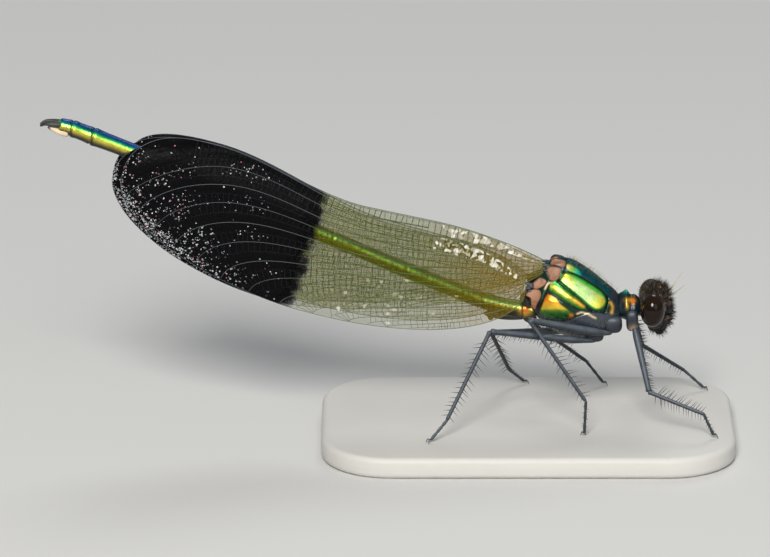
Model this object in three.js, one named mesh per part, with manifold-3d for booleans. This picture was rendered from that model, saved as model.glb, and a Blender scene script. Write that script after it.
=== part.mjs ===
// A male western demoiselle, a damselfly of clear streams, at life size.
// It stands on its six feet with its wings closed over its back, on a thin plate.
// Millimetres. X runs forward to the head, Y to the animal's left, Z up.
// The origin is the middle of the bottom of the whole model.

import * as THREE from 'three';
import Module from 'manifold-3d';
import { mergeVertices } from 'three/addons/utils/BufferGeometryUtils.js';
import { LoftGeometry } from 'three/addons/geometries/LoftGeometry.js';

const wasm = await Module();
wasm.setup();

// Driving dimensions
const GAP = 0.3;                 // clear space between one part and the next
const BODY_LENGTH = 45.9;        // face to the tips of the claspers, measured level
const TAIL_X = -25.18;           // tips of the claspers
const FACE_X = TAIL_X + BODY_LENGTH;
const BASE_FRONT_X = -TAIL_X;
const BASE_LENGTH = 30;
const BASE_WIDTH = 18.6;
const BASE_THICKNESS = 1.55;
const BASE_CORNER = 5;
const BASE_BEVEL = 0.3;
const FOOT_RADIUS = 0.25;
const FOOT_Z = BASE_THICKNESS + GAP + FOOT_RADIUS;

const EYE_CENTRE = { x: 19.14, y: 1.72, z: 10.3 };
const EYE_RADII = { x: 0.9, y: 1.0, z: 1.24 };

const MEMBRANE_HALF = 0.24;      // half the thickness of a wing between its veins
const VEIN_RIDGE = 0.08;         // how far a main vein stands out of each face
const VEIN_FOOT = 0.03;          // half the width of a ridge, as a share of the wing's depth
const WING_START = 0.02;         // where the membrane begins, as a share of the wing's length
const WING_STATIONS = 16;
const MAIN_VEINS = [0.9, 0.74, 0.58, 0.42, 0.26, 0.12];

// Materials
const metalGreen = material(0x1c6b52, 0.3, 0.8);
const metalBlue = material(0x175a73, 0.3, 0.8);
const darkHead = material(0x14241f, 0.45, 0.4);
const eyeBrown = material(0x3a1710, 0.15, 0.0);
const legGrey = material(0x2b3138, 0.5, 0.1);
const wingBlack = material(0x10141c, 0.4, 0.2);
const paleTail = material(0xd9cfa8, 0.6, 0.0);
const basePale = material(0xe4e1da, 0.6, 0.0);

function material(color, roughness, metalness) {
	return new THREE.MeshStandardMaterial({ color, roughness, metalness });
}

function vec(x, y, z) {
	return new THREE.Vector3(x, y, z);
}

function mix(a, b, share) {
	return a + (b - a) * share;
}

function smooth(share) {
	const s = Math.min(1, Math.max(0, share));
	return s * s * (3 - 2 * s);
}

// Solids: a closed geometry becomes a solid that can be joined and cut
function solidOf(geometry) {
	const bare = new THREE.BufferGeometry().copy(geometry);
	bare.deleteAttribute('normal');
	bare.deleteAttribute('uv');
	const merged = mergeVertices(bare, 1e-5);
	const mesh = new wasm.Mesh({
		numProp: 3,
		vertProperties: new Float32Array(merged.attributes.position.array),
		triVerts: new Uint32Array(merged.index.array),
	});
	return new wasm.Manifold(mesh);
}

function join(solids) {
	return solids.reduce((whole, solid) => whole.add(solid));
}

function cut(solid, tools) {
	return tools.reduce((left, tool) => left.subtract(tool), solid);
}

// The largest closed surface of a solid, as a geometry
function geometryOf(solid) {
	const pieces = solid.decompose();
	const largest = pieces.reduce((a, b) => (b.volume() > a.volume() ? b : a));
	const mesh = largest.getMesh();
	const geometry = new THREE.BufferGeometry();
	geometry.setAttribute('position', new THREE.BufferAttribute(mesh.vertProperties, 3));
	geometry.setIndex(new THREE.BufferAttribute(mesh.triVerts, 1));
	geometry.computeVertexNormals();
	return geometry;
}

function loft(sections) {
	return solidOf(new LoftGeometry(sections, { closed: true, capStart: true, capEnd: true }));
}

function ellipsoid(centre, radii, round = 12, high = 8) {
	const geometry = new THREE.SphereGeometry(1, round, high);
	geometry.rotateX(Math.PI / 2);
	geometry.scale(radii.x, radii.y, radii.z);
	geometry.translate(centre.x, centre.y, centre.z);
	return solidOf(geometry);
}

// A tapering round limb along a smooth path, rounded at both ends.
// radii are spread evenly along the path, and grow makes it fatter all over.
function limb(points, radii, steps, sides = 8, grow = 0) {
	const path = new THREE.CatmullRomCurve3(points, false, 'centripetal');
	const frames = path.computeFrenetFrames(steps, false);
	const sections = [];
	const ring = (centre, radius, index) => {
		const section = [];
		for (let side = 0; side < sides; side++) {
			const angle = (side / sides) * Math.PI * 2;
			const point = centre.clone();
			point.addScaledVector(frames.normals[index], Math.cos(angle) * radius);
			point.addScaledVector(frames.binormals[index], Math.sin(angle) * radius);
			section.push(point);
		}
		sections.push(section);
	};
	const startRadius = radii[0] + grow;
	const endRadius = radii[radii.length - 1] + grow;
	const roundEnd = 0.55;
	const start = path.getPointAt(0).addScaledVector(frames.tangents[0], -startRadius * roundEnd);
	ring(start, startRadius * roundEnd, 0);
	for (let step = 0; step <= steps; step++) {
		const along = (step / steps) * (radii.length - 1);
		const before = Math.min(Math.floor(along), radii.length - 2);
		const radius = mix(radii[before], radii[before + 1], along - before) + grow;
		ring(path.getPointAt(step / steps), radius, step);
	}
	const end = path.getPointAt(1).addScaledVector(frames.tangents[steps], endRadius * roundEnd);
	ring(end, endRadius * roundEnd, steps);
	return loft(sections);
}

// A thin four-sided spine from a root point towards a tip point
function spine(root, tip, radius) {
	const length = root.distanceTo(tip);
	const geometry = new THREE.ConeGeometry(radius, length, 4, 1);
	geometry.translate(0, length / 2, 0);
	const direction = tip.clone().sub(root).normalize();
	geometry.applyQuaternion(new THREE.Quaternion().setFromUnitVectors(vec(0, 1, 0), direction));
	geometry.translate(root.x, root.y, root.z);
	return solidOf(geometry);
}

// A body part lofted along X. Each station gives x, the height of its back and
// of its belly, and its half width; crown below 1 makes the back narrower.
function bodyLoft(stations, crown, sides, grow = 0) {
	const last = stations.length - 1;
	const sections = stations.map(([x, top, bottom, halfWidth], index) => {
		const shift = index === 0 ? -grow : index === last ? grow : 0;
		const middle = (top + bottom) / 2;
		const high = (top - bottom) / 2 + grow;
		const wide = halfWidth + grow;
		const section = [];
		for (let side = 0; side < sides; side++) {
			const angle = (side / sides) * Math.PI * 2;
			const up = Math.sin(angle);
			const narrowing = mix(1, crown, Math.max(0, up));
			section.push(vec(x + shift, Math.cos(angle) * wide * narrowing, middle + up * high));
		}
		return section;
	});
	return loft(sections);
}

// The thorax that carries the wings leans back, so its back rises steeply to the wing roots
const THORAX_STATIONS = [
	[9.9, 11.2, 10.55, 0.55],
	[10.35, 12.0, 9.95, 1.1],
	[11.1, 12.95, 9.0, 1.5],
	[12.1, 13.65, 8.25, 1.8],
	[13.2, 13.65, 7.75, 1.92],
	[14.5, 12.9, 7.5, 1.85],
	[15.6, 12.0, 7.8, 1.6],
	[16.4, 11.3, 8.4, 1.15],
	[16.9, 10.7, 9.1, 0.7],
];
const PROTHORAX_STATIONS = [
	[17.0, 10.75, 9.35, 0.6],
	[17.2, 11.1, 9.2, 0.9],
	[17.45, 11.15, 9.15, 0.98],
	[17.7, 10.75, 9.3, 0.8],
	[17.85, 10.5, 9.5, 0.55],
];
const NECK_STATIONS = [
	[18.1, 10.3, 9.65, 0.34],
	[18.42, 10.35, 9.7, 0.36],
];

const thoraxBody = (grow) => bodyLoft(THORAX_STATIONS, 0.55, 16, grow);
const prothoraxBody = (grow) => bodyLoft(PROTHORAX_STATIONS, 0.7, 12, grow);

// The knobs of brown horn that carry the wings, two to a wing
const HINGES = [
	{ centre: [12.02, 1.38, 12.95], radii: [0.6, 0.4, 0.55] },
	{ centre: [12.28, 1.0, 13.62], radii: [0.55, 0.4, 0.42] },
	{ centre: [10.75, 1.45, 11.05], radii: [0.52, 0.4, 0.72] },
	{ centre: [10.95, 1.3, 12.1], radii: [0.5, 0.4, 0.42] },
];

function thorax() {
	const pieces = [thoraxBody(0)];
	for (const side of [-1, 1]) {
		for (const { centre, radii } of HINGES) {
			const middle = vec(centre[0], side * centre[1], centre[2]);
			pieces.push(ellipsoid(middle, vec(...radii), 8, 6));
		}
	}
	return join(pieces);
}

// Head: a wide crown between the eyes, the face, and the mouthparts below it
function head() {
	const crown = ellipsoid(vec(19.4, 0, 10.35), vec(0.78, 1.95, 0.98), 16, 10);
	const forehead = ellipsoid(vec(19.9, 0, 10.15), vec(0.72, 1.05, 0.85));
	const snout = ellipsoid(vec(FACE_X - 0.55, 0, 9.6), vec(0.52, 0.95, 0.42));
	const upperLip = ellipsoid(vec(FACE_X - 0.65, 0, 9.12), vec(0.48, 0.82, 0.4));
	const jaws = ellipsoid(vec(19.6, 0, 8.95), vec(0.72, 1.15, 0.75));
	const lowerLip = ellipsoid(vec(19.45, 0, 8.35), vec(0.6, 0.6, 0.45));
	const nape = ellipsoid(vec(18.98, 0, 10.1), vec(0.32, 1.3, 0.75));
	const pieces = [crown, forehead, snout, upperLip, jaws, lowerLip, nape];
	const simpleEyes = [[19.95, 0, 11.02], [19.6, 0.42, 11.22], [19.6, -0.42, 11.22]];
	for (const [x, y, z] of simpleEyes) {
		pieces.push(ellipsoid(vec(x, y, z), vec(0.16, 0.16, 0.14), 6, 4));
	}
	const sockets = [-1, 1].map((side) => eye(side, GAP));
	return cut(join(pieces), sockets);
}

function eye(side, grow = 0) {
	const centre = vec(EYE_CENTRE.x, side * EYE_CENTRE.y, EYE_CENTRE.z);
	const radii = vec(EYE_RADII.x + grow, EYE_RADII.y + grow, EYE_RADII.z + grow);
	return ellipsoid(centre, radii, 16, 11);
}

function antenna(side) {
	const points = [
		vec(20.35, side * 0.72, 11.05),
		vec(20.62, side * 0.88, 11.2),
		vec(20.95, side * 1.15, 11.6),
		vec(21.45, side * 1.55, 12.2),
	];
	return limb(points, [0.25, 0.25, 0.16, 0.05], 7);
}

// Abdomen: ten rings in a gentle rising curve. Each joint is x, z and the radius there.
const ABDOMEN_JOINTS = [
	[10.75, 9.72, 0.62],
	[9.75, 9.8, 0.66],
	[6.81, 10.52, 0.64],
	[1.3, 12.81, 0.6],
	[-4.06, 15.19, 0.58],
	[-8.99, 17.34, 0.58],
	[-13.7, 19.48, 0.6],
	[-17.76, 21.46, 0.64],
	[-21.31, 22.93, 0.68],
	[-22.8, 23.52, 0.64],
	[-23.85, 23.8, 0.56],
];
const ABDOMEN_WAIST = 0.93;      // a ring's middle against its ends

const abdomenCurve = new THREE.CatmullRomCurve3(
	ABDOMEN_JOINTS.map(([x, z]) => vec(x, 0, z)),
	false,
	'centripetal',
);

function abdomenRing(index) {
	const last = ABDOMEN_JOINTS.length - 1;
	const from = index / last;
	const to = (index + 1) / last;
	const length = abdomenCurve.getPoint(from).distanceTo(abdomenCurve.getPoint(to));
	const share = GAP / 2 / length;
	const steps = length > 3 ? 5 : 3;
	const points = [];
	const radii = [];
	for (let step = 0; step <= steps; step++) {
		const along = mix(share, 1 - share, step / steps);
		const slim = mix(1, ABDOMEN_WAIST, Math.sin(Math.PI * step / steps));
		points.push(abdomenCurve.getPoint(mix(from, to, along)));
		radii.push(mix(ABDOMEN_JOINTS[index][2], ABDOMEN_JOINTS[index + 1][2], along) * slim);
	}
	return tube(points, radii, 12);
}

// A tube of flat-ended rings through given points
function tube(points, radii, sides) {
	const sections = points.map((point, index) => {
		const before = points[Math.max(0, index - 1)];
		const after = points[Math.min(points.length - 1, index + 1)];
		const along = after.clone().sub(before).normalize();
		const across = vec(0, 1, 0);
		const up = along.clone().cross(across);
		const section = [];
		for (let side = 0; side < sides; side++) {
			const angle = (side / sides) * Math.PI * 2;
			const rim = point.clone();
			rim.addScaledVector(across, Math.cos(angle) * radii[index]);
			rim.addScaledVector(up, Math.sin(angle) * radii[index]);
			section.push(rim);
		}
		return section;
	});
	return loft(sections);
}

// The height of the abdomen's middle line above a given x
function abdomenHeight(x) {
	for (let index = 1; index < ABDOMEN_JOINTS.length; index++) {
		const [x0, z0] = ABDOMEN_JOINTS[index - 1];
		const [x1, z1] = ABDOMEN_JOINTS[index];
		if (x >= x1 || index === ABDOMEN_JOINTS.length - 1) {
			return mix(z0, z1, (x - x0) / (x1 - x0));
		}
	}
	return 0;
}

// Claspers at the tip of the abdomen, an upper pair and a shorter lower pair
function cercus(side) {
	const points = [
		vec(-24.12, side * 0.36, 24.08),
		vec(-24.55, side * 0.52, 24.18),
		vec(-25.0, side * 0.36, 24.06),
	];
	return limb(points, [0.22, 0.2, 0.12], 5);
}

function paraproct(side) {
	const points = [
		vec(-24.05, side * 0.3, 23.36),
		vec(-24.5, side * 0.34, 23.3),
	];
	return limb(points, [0.2, 0.14], 2);
}

// Wings. A wing lies in an upright plane beside the abdomen. Its axis runs from
// its root to its tip, and its two margins are heights above and below that axis.
const WINGS = {
	fore: {
		root: vec(11.46, 0, 13.74),
		tip: vec(-19.99, 0, 20.62),
		rootSide: 0.85,
		upperSide: 0.47,
		lowerSide: 1.34,
		front: { low: 1.44, high: 3.92, rise: 0.28, power: 2.2, from: 0.42, to: 0.8, round: 2.3 },
		back: { deep: 6.9, at: 0.56, basePower: 1.5, tipPower: 1.75 },
	},
	hind: {
		root: vec(9.93, 0, 12.2),
		tip: vec(-19.34, 0, 20.74),
		rootSide: 1.72,
		upperSide: 1.42,
		lowerSide: 2.29,
		front: { low: 1.62, high: 4.12, rise: 0.22, power: 2.8, from: 0.36, to: 0.8, round: 2.7 },
		back: { deep: 6.46, at: 0.5, basePower: 1.6, tipPower: 1.85 },
	},
};

// A quarter of a rounded box, from 1 at share 0 to 0 at share 1
function quarter(share, power) {
	return (1 - Math.min(1, Math.max(0, share)) ** power) ** (1 / power);
}

function frontMargin({ front }, along) {
	const base = 1 - (1 - Math.min(1, along / front.rise)) ** front.power;
	const swell = smooth((along - front.from) / (front.to - front.from));
	const height = front.low * base + (front.high - front.low) * swell;
	return height * quarter((along - front.to) / (1 - front.to), front.round);
}

function backMargin({ back }, along) {
	if (along < back.at) return -back.deep * quarter((back.at - along) / back.at, back.basePower);
	return -back.deep * quarter((along - back.at) / (1 - back.at), back.tipPower);
}

// The veins fan out from the root: fan 1 is the front margin, and lower veins run
// beside it and then curve down to end on the back margin, the lowest ones first.
function veinPoint(wing, fan, share) {
	const along = 1 - (1 - share) ** 1.5;
	const reach = mix(0.2, 1, fan ** 0.85);
	const u = mix(WING_START, mix(WING_START, 1, reach), along);
	const drop = fan === 1 ? 1 : (1 - along ** (2.2 + 9 * fan ** 4)) ** 0.75;
	const v = fan * drop;
	const low = backMargin(wing, u);
	return { u, height: mix(low, frontMargin(wing, u), v) };
}

function wingPoint(wing, side, fan, share) {
	const { u, height } = veinPoint(wing, fan, share);
	const axis = wing.tip.clone().sub(wing.root);
	const length = axis.length();
	axis.normalize();
	const point = wing.root.clone().addScaledVector(axis, u * length);
	point.addScaledVector(vec(axis.z, 0, -axis.x), height);
	const above = point.z - abdomenHeight(point.x);
	const lowered = smooth((3.4 - above) / 2.8);
	const aside = mix(wing.upperSide, wing.lowerSide, lowered);
	const rooted = smooth(1 - (u - WING_START) / 0.14);
	point.y = side * mix(aside, wing.rootSide, rooted);
	return point;
}

// The rows of a wing's grid follow its veins; a vein has a raised row between two low ones
function wingRows() {
	const rows = [{ fan: 0, half: MEMBRANE_HALF }];
	for (const vein of [...MAIN_VEINS].reverse()) {
		rows.push({ fan: vein - VEIN_FOOT, half: MEMBRANE_HALF });
		rows.push({ fan: vein, half: MEMBRANE_HALF + VEIN_RIDGE });
		rows.push({ fan: vein + VEIN_FOOT, half: MEMBRANE_HALF });
	}
	rows.push({ fan: 1 - VEIN_FOOT, half: MEMBRANE_HALF });
	rows.push({ fan: 1, half: MEMBRANE_HALF + VEIN_RIDGE });
	return rows;
}

function wing(kind, side) {
	const rows = wingRows();
	const columns = WING_STATIONS;
	const positions = [];
	for (const face of [1, -1]) {
		for (const { fan, half } of rows) {
			for (let column = 0; column < columns; column++) {
				const point = wingPoint(WINGS[kind], side, fan, column / (columns - 1));
				positions.push(point.x, point.y + face * half, point.z);
			}
		}
	}
	const faceSize = rows.length * columns;
	const at = (row, column) => row * columns + column;
	const index = [];
	for (let row = 0; row < rows.length - 1; row++) {
		for (let column = 0; column < columns - 1; column++) {
			const [a, b] = [at(row, column), at(row, column + 1)];
			const [c, d] = [at(row + 1, column + 1), at(row + 1, column)];
			index.push(a, b, c, a, c, d);
			index.push(faceSize + a, faceSize + c, faceSize + b);
			index.push(faceSize + a, faceSize + d, faceSize + c);
		}
	}
	const rim = [];
	for (let column = 0; column < columns - 1; column++) rim.push(at(0, column));
	for (let row = 0; row < rows.length - 1; row++) rim.push(at(row, columns - 1));
	for (let column = columns - 1; column > 0; column--) rim.push(at(rows.length - 1, column));
	for (let row = rows.length - 1; row > 0; row--) rim.push(at(row, 0));
	rim.forEach((a, place) => {
		const b = rim[(place + 1) % rim.length];
		index.push(a, faceSize + a, b, b, faceSize + a, faceSize + b);
	});
	const geometry = new THREE.BufferGeometry();
	geometry.setAttribute('position', new THREE.Float32BufferAttribute(positions, 3));
	geometry.setIndex(index);
	return solidOf(geometry);
}

// Legs. Each is a path from the hip through the knee and the ankle to the toes.
const LEGS = {
	fore_right: {
		hip: vec(17.5, -0.75, 9.35), thigh: vec(17.85, -1.15, 8.8),
		knee: vec(18.89, -3.6, 4.68), ankle: vec(22.8, -4.9, 3.45), toe: vec(23.6, -4.8, FOOT_Z),
	},
	mid_right: {
		hip: vec(16.1, -0.9, 8.7), thigh: vec(15.7, -1.5, 8.35),
		knee: vec(10.19, -3.3, 10.05), ankle: vec(14.28, -4.7, 4.35), toe: vec(14.2, -4.4, FOOT_Z),
	},
	hind_right: {
		hip: vec(15.0, -0.9, 8.0), thigh: vec(14.6, -1.5, 7.75),
		knee: vec(7.36, -3.1, 9.13), ankle: vec(4.23, -5.2, 3.05), toe: vec(3.0, -5.8, FOOT_Z),
	},
	fore_left: {
		hip: vec(17.5, 0.75, 9.35), thigh: vec(17.85, 1.15, 8.8),
		knee: vec(18.6, 5.0, 5.45), ankle: vec(21.82, 5.9, 3.14), toe: vec(23.4, 5.9, FOOT_Z),
	},
	mid_left: {
		hip: vec(16.1, 0.9, 8.7), thigh: vec(15.7, 1.5, 8.35),
		knee: vec(10.44, 4.0, 7.5), ankle: vec(14.64, 6.9, 3.51), toe: vec(16.0, 7.0, FOOT_Z),
	},
	hind_left: {
		hip: vec(15.0, 0.9, 8.0), thigh: vec(14.6, 1.5, 7.75),
		knee: vec(7.54, 3.3, 6.93), ankle: vec(8.95, 6.9, 2.85), toe: vec(10.2, 7.4, FOOT_Z),
	},
};
const THIGH_RADII = { fore: [0.3, 0.3, 0.27], mid: [0.32, 0.32, 0.28], hind: [0.32, 0.3, 0.28] };
const SHIN_RADII = [0.27, 0.25, 0.25];
const SPINES_A_ROW = 6;
const SPINE_LENGTH = 1.7;
const SPINE_RADIUS = 0.2;

function thighTube(name, grow = 0) {
	const { hip, thigh, knee } = LEGS[name];
	const radii = THIGH_RADII[name.split('_')[0]];
	return limb([hip, thigh, knee], radii, 6, 8, grow);
}

function shinTube(name, grow = 0) {
	const { knee, ankle } = LEGS[name];
	return limb([knee, ankle], SHIN_RADII, 2, 8, grow);
}

function thigh(name) {
	const body = name.startsWith('fore') ? prothoraxBody(GAP) : thoraxBody(GAP);
	const whole = cut(thighTube(name), [body]);
	return name.startsWith('fore') ? cut(whole, [thoraxBody(GAP)]) : whole;
}

// Shins carry two rows of long spines that lean towards the foot
function shin(name) {
	const { thigh: hip, knee, ankle } = LEGS[name];
	const along = ankle.clone().sub(knee).normalize();
	const inner = hip.clone().sub(knee);
	inner.addScaledVector(along, -inner.dot(along)).normalize();
	const across = along.clone().cross(inner);
	const pieces = [shinTube(name)];
	for (const row of [-1, 1]) {
		for (let count = 0; count < SPINES_A_ROW; count++) {
			const share = mix(0.3, 0.93, (count + (row > 0 ? 0.4 : 0)) / SPINES_A_ROW);
			const root = knee.clone().lerp(ankle, share);
			const length = SPINE_LENGTH * mix(1, 0.65, share);
			const tip = root.clone().addScaledVector(along, length * 0.5);
			tip.addScaledVector(inner, length * 0.5);
			tip.addScaledVector(across, row * length * 0.7);
			tip.z = Math.max(tip.z, BASE_THICKNESS + GAP);
			pieces.push(spine(root, tip, SPINE_RADIUS));
		}
	}
	return cut(join(pieces), [thighTube(name, GAP)]);
}

// Feet: three short joints and a pair of claws
function foot(name) {
	const { knee, ankle, toe } = LEGS[name];
	const along = toe.clone().sub(ankle).normalize();
	const start = ankle.clone().addScaledVector(along, 0.1);
	const end = toe.clone().addScaledVector(along, -0.25);
	end.z = FOOT_Z;
	const pieces = [limb([start, end], [0.22, 0.25, 0.22, 0.25, 0.2], 6)];
	const level = vec(along.x, along.y, 0).normalize();
	const across = vec(-level.y, level.x, 0);
	for (const side of [-1, 1]) {
		const tip = toe.clone().addScaledVector(level, 0.25).addScaledVector(across, side * 0.28);
		tip.z = BASE_THICKNESS + GAP + 0.03;
		pieces.push(spine(end, tip, 0.16));
	}
	return cut(join(pieces), [shinTube(name, GAP), floorCut()]);
}

// The space that the feet keep clear of, up to the gap over the plate
function floorCut() {
	const side = 80;
	const height = BASE_THICKNESS + GAP;
	const geometry = new THREE.BoxGeometry(side, side, height);
	geometry.translate(0, 0, height / 2);
	return solidOf(geometry);
}

// The plate: a rounded rectangle with its top and bottom edges eased
function standBase() {
	const wide = BASE_LENGTH / 2 - BASE_BEVEL;
	const deep = BASE_WIDTH / 2 - BASE_BEVEL;
	const corner = BASE_CORNER - BASE_BEVEL;
	const outline = new THREE.Shape();
	outline.moveTo(-wide + corner, -deep);
	outline.lineTo(wide - corner, -deep);
	outline.absarc(wide - corner, -deep + corner, corner, -Math.PI / 2, 0);
	outline.lineTo(wide, deep - corner);
	outline.absarc(wide - corner, deep - corner, corner, 0, Math.PI / 2);
	outline.lineTo(-wide + corner, deep);
	outline.absarc(-wide + corner, deep - corner, corner, Math.PI / 2, Math.PI);
	outline.lineTo(-wide, -deep + corner);
	outline.absarc(-wide + corner, -deep + corner, corner, Math.PI, Math.PI * 1.5);
	const geometry = new THREE.ExtrudeGeometry(outline, {
		depth: BASE_THICKNESS - 2 * BASE_BEVEL,
		bevelEnabled: true,
		bevelThickness: BASE_BEVEL,
		bevelSize: BASE_BEVEL,
		bevelSegments: 1,
		curveSegments: 6,
	});
	geometry.translate(BASE_FRONT_X - BASE_LENGTH / 2, 0, BASE_BEVEL);
	return solidOf(geometry);
}

// Assembly
const model = new THREE.Group();

function add(name, solid, finish) {
	const mesh = new THREE.Mesh(geometryOf(solid), finish);
	mesh.name = name;
	model.add(mesh);
}

add('head', head(), darkHead);
add('neck', bodyLoft(NECK_STATIONS, 1, 10), darkHead);
add('prothorax', prothoraxBody(0), metalBlue);
add('thorax', thorax(), metalGreen);

const thoraxRoom = thoraxBody(GAP);
for (let index = 0; index < ABDOMEN_JOINTS.length - 1; index++) {
	add(`abdomen_${index + 1}`, cut(abdomenRing(index), [thoraxRoom]), metalBlue);
}

for (const [side, label] of [[-1, 'right'], [1, 'left']]) {
	add(`eye_${label}`, eye(side), eyeBrown);
	add(`antenna_${label}`, antenna(side), darkHead);
	add(`cercus_${label}`, cercus(side), darkHead);
	add(`paraproct_${label}`, paraproct(side), paleTail);
	for (const kind of Object.keys(WINGS)) {
		add(`wing_${kind}_${label}`, wing(kind, side), wingBlack);
	}
}

for (const name of Object.keys(LEGS)) {
	add(`leg_${name}_femur`, thigh(name), legGrey);
	add(`leg_${name}_tibia`, shin(name), legGrey);
	add(`leg_${name}_tarsus`, foot(name), legGrey);
}

add('stand_base', standBase(), basePale);

export default model;
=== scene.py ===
import math
import random

import bpy
import numpy as np
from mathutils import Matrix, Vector


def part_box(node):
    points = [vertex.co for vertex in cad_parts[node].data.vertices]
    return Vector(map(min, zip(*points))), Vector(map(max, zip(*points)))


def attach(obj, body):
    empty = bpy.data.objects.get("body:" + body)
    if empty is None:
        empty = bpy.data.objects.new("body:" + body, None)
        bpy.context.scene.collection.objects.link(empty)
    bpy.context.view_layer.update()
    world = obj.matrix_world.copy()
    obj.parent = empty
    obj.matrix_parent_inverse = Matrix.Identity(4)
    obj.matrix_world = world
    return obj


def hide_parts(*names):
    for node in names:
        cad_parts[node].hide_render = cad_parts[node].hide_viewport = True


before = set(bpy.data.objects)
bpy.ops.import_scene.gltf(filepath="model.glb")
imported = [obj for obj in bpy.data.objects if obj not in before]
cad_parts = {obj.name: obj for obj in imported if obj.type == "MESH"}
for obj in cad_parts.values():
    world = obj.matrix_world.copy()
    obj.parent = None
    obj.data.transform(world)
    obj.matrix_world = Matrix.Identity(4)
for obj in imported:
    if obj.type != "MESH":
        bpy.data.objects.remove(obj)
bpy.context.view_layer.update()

MM = 0.001
BODY = "root"
SIDES = {"right": -1, "left": 1}

# %% [markdown]
# ## A demoiselle damselfly at life size
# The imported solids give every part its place. Around them this lesson makes the looks:
# a shell of metallic horn, four veined wings, bristly legs and a plain plate to stand on.
# Lengths are written in millimetres, because an insect is measured that way, and are
# turned into metres when a point is placed.

# %% [markdown]
# ## Camera
# The picture looks at the insect's right side from a little above, through a long lens,
# so lines that are level on the body stay level and nothing shrinks with distance.
# The lens is worked out from how many millimetres the picture's width covers.

# %% Camera
PICTURE_WIDTH = 770
MM_PER_PIXEL = 0.0725
VIEW_DOWN = math.radians(18)
CAMERA_DISTANCE = 0.5
SENSOR = 36.0
AIM = Vector((-0.22, 0.0, 12.16)) * MM

camera_data = bpy.data.cameras.new("camera")
camera = bpy.data.objects.new("camera", camera_data)
bpy.context.collection.objects.link(camera)
camera_data.sensor_width = SENSOR
camera_data.lens = SENSOR * CAMERA_DISTANCE / (PICTURE_WIDTH * MM_PER_PIXEL * MM)
camera_data.clip_start = 0.01
camera_data.clip_end = 20.0
camera.location = AIM + CAMERA_DISTANCE * Vector((0, -math.cos(VIEW_DOWN), math.sin(VIEW_DOWN)))
camera.rotation_euler = (math.pi / 2 - VIEW_DOWN, 0, 0)
bpy.context.scene.camera = camera
print("lens:", round(camera_data.lens, 1), "mm")

# %% [markdown]
# ## Helpers for numbers
# Shapes and colours are worked out for all the points of a piece at once, so these small
# tools take whole lists: a mix, a soft step, and colours read off a list of stops.

# %% Helpers for numbers
def mix(first, second, share):
    return first + (second - first) * share


def blend(first, second, share):
    """Mixes colours, with one share for each point."""
    return mix(np.asarray(first, float), np.asarray(second, float), np.asarray(share)[:, None])


def smooth(share):
    share = np.clip(share, 0.0, 1.0)
    return share * share * (3 - 2 * share)


def bump_at(distance, width):
    return np.exp(-(distance / width) ** 2)


def unit(vectors):
    """One vector, or a row for each, made one long."""
    return vectors / np.linalg.norm(vectors, axis=-1, keepdims=True)


def ramp(stops, values):
    """Colours read off a list of (place, colour) stops, one for each value."""
    places = [place for place, _ in stops]
    colours = np.array([colour for _, colour in stops], float)
    return np.stack([np.interp(values, places, colours[:, part]) for part in range(3)], axis=-1)


def curve_through(points, count):
    """Points spread along a smooth curve through the given ones (Catmull-Rom)."""
    knots = [np.array(point, float) for point in points]
    knots = [2 * knots[0] - knots[1], *knots, 2 * knots[-1] - knots[-2]]
    spans = len(knots) - 3
    result = []
    for position in np.linspace(0, spans, count):
        span = min(int(position), spans - 1)
        t = position - span
        a, b, c, d = knots[span:span + 4]
        result.append(0.5 * (2 * b + (c - a) * t + (2 * a - 5 * b + 4 * c - d) * t ** 2
                             + (3 * b - a - 3 * c + d) * t ** 3))
    return np.array(result)


def read_line(line, share):
    """The columns of a line of points, read at shares of its length in points."""
    places = np.linspace(0, 1, len(line))
    return [np.interp(share, places, line[:, column]) for column in range(line.shape[1])]


def reach_along(line):
    """How far along a line each of its points lies."""
    return np.concatenate([[0], np.cumsum(np.linalg.norm(np.diff(line, axis=0), axis=1))])


def point_along(line, reach, distance):
    """Where a line is at distances along it. Past its ends it stays at the last point."""
    return np.stack([np.interp(distance, reach, line[:, axis]) for axis in range(3)], axis=-1)


def line_distance(line, points):
    """How far each point lies from a line of points."""
    nearest = np.full(len(points), np.inf)
    for start, end in zip(line[:-1], line[1:]):
        edge = end - start
        offset = points - start
        share = np.clip(offset @ edge / (edge @ edge), 0, 1)
        nearest = np.minimum(nearest, np.linalg.norm(offset - share[:, None] * edge, axis=1))
    return nearest


def depth_inside(outline, points):
    """How deep points lie inside a closed outline. Below zero they are outside."""
    closed = np.vstack([outline, outline[:1]])
    crossed = np.zeros(len(points), bool)
    for (x1, z1), (x2, z2) in zip(closed[:-1], closed[1:]):
        spans = (points[:, 1] < z1) != (points[:, 1] < z2)
        rise = z2 - z1 if abs(z2 - z1) > 1e-9 else 1e-9
        crossed ^= spans & (points[:, 0] < x1 + (points[:, 1] - z1) / rise * (x2 - x1))
    distance = line_distance(closed, points)
    return np.where(crossed, distance, -distance)


def rounded(corners):
    """A smooth closed outline through a few corners."""
    steps = 8
    around = [corners[-1], *corners, corners[0], corners[1]]
    line = curve_through(around, steps * (len(around) - 1) + 1)
    return line[steps:-steps - 1]


def round_ends(share, blunt):
    """Falls from 1 to 0 over the last stretch at both ends, as a dome does."""
    edge = np.clip(np.minimum(share, 1 - share) / blunt, 0, 1)
    return np.sqrt(np.clip(1 - (1 - edge) ** 2, 0, 1))


# %% [markdown]
# ## Helpers for shapes
# Most parts of an insect are drawn-out balls: rings, limbs and lobes with closed ends.
# So one helper adds a ball and moves its points to where a small function says, from one
# pole of the ball to the other.

# %% Helpers for shapes
PATH_POINTS = 200


def clear_selection():
    if bpy.context.object and bpy.context.object.mode != "OBJECT":
        bpy.ops.object.mode_set(mode="OBJECT")
    bpy.ops.object.select_all(action="DESELECT")


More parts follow.
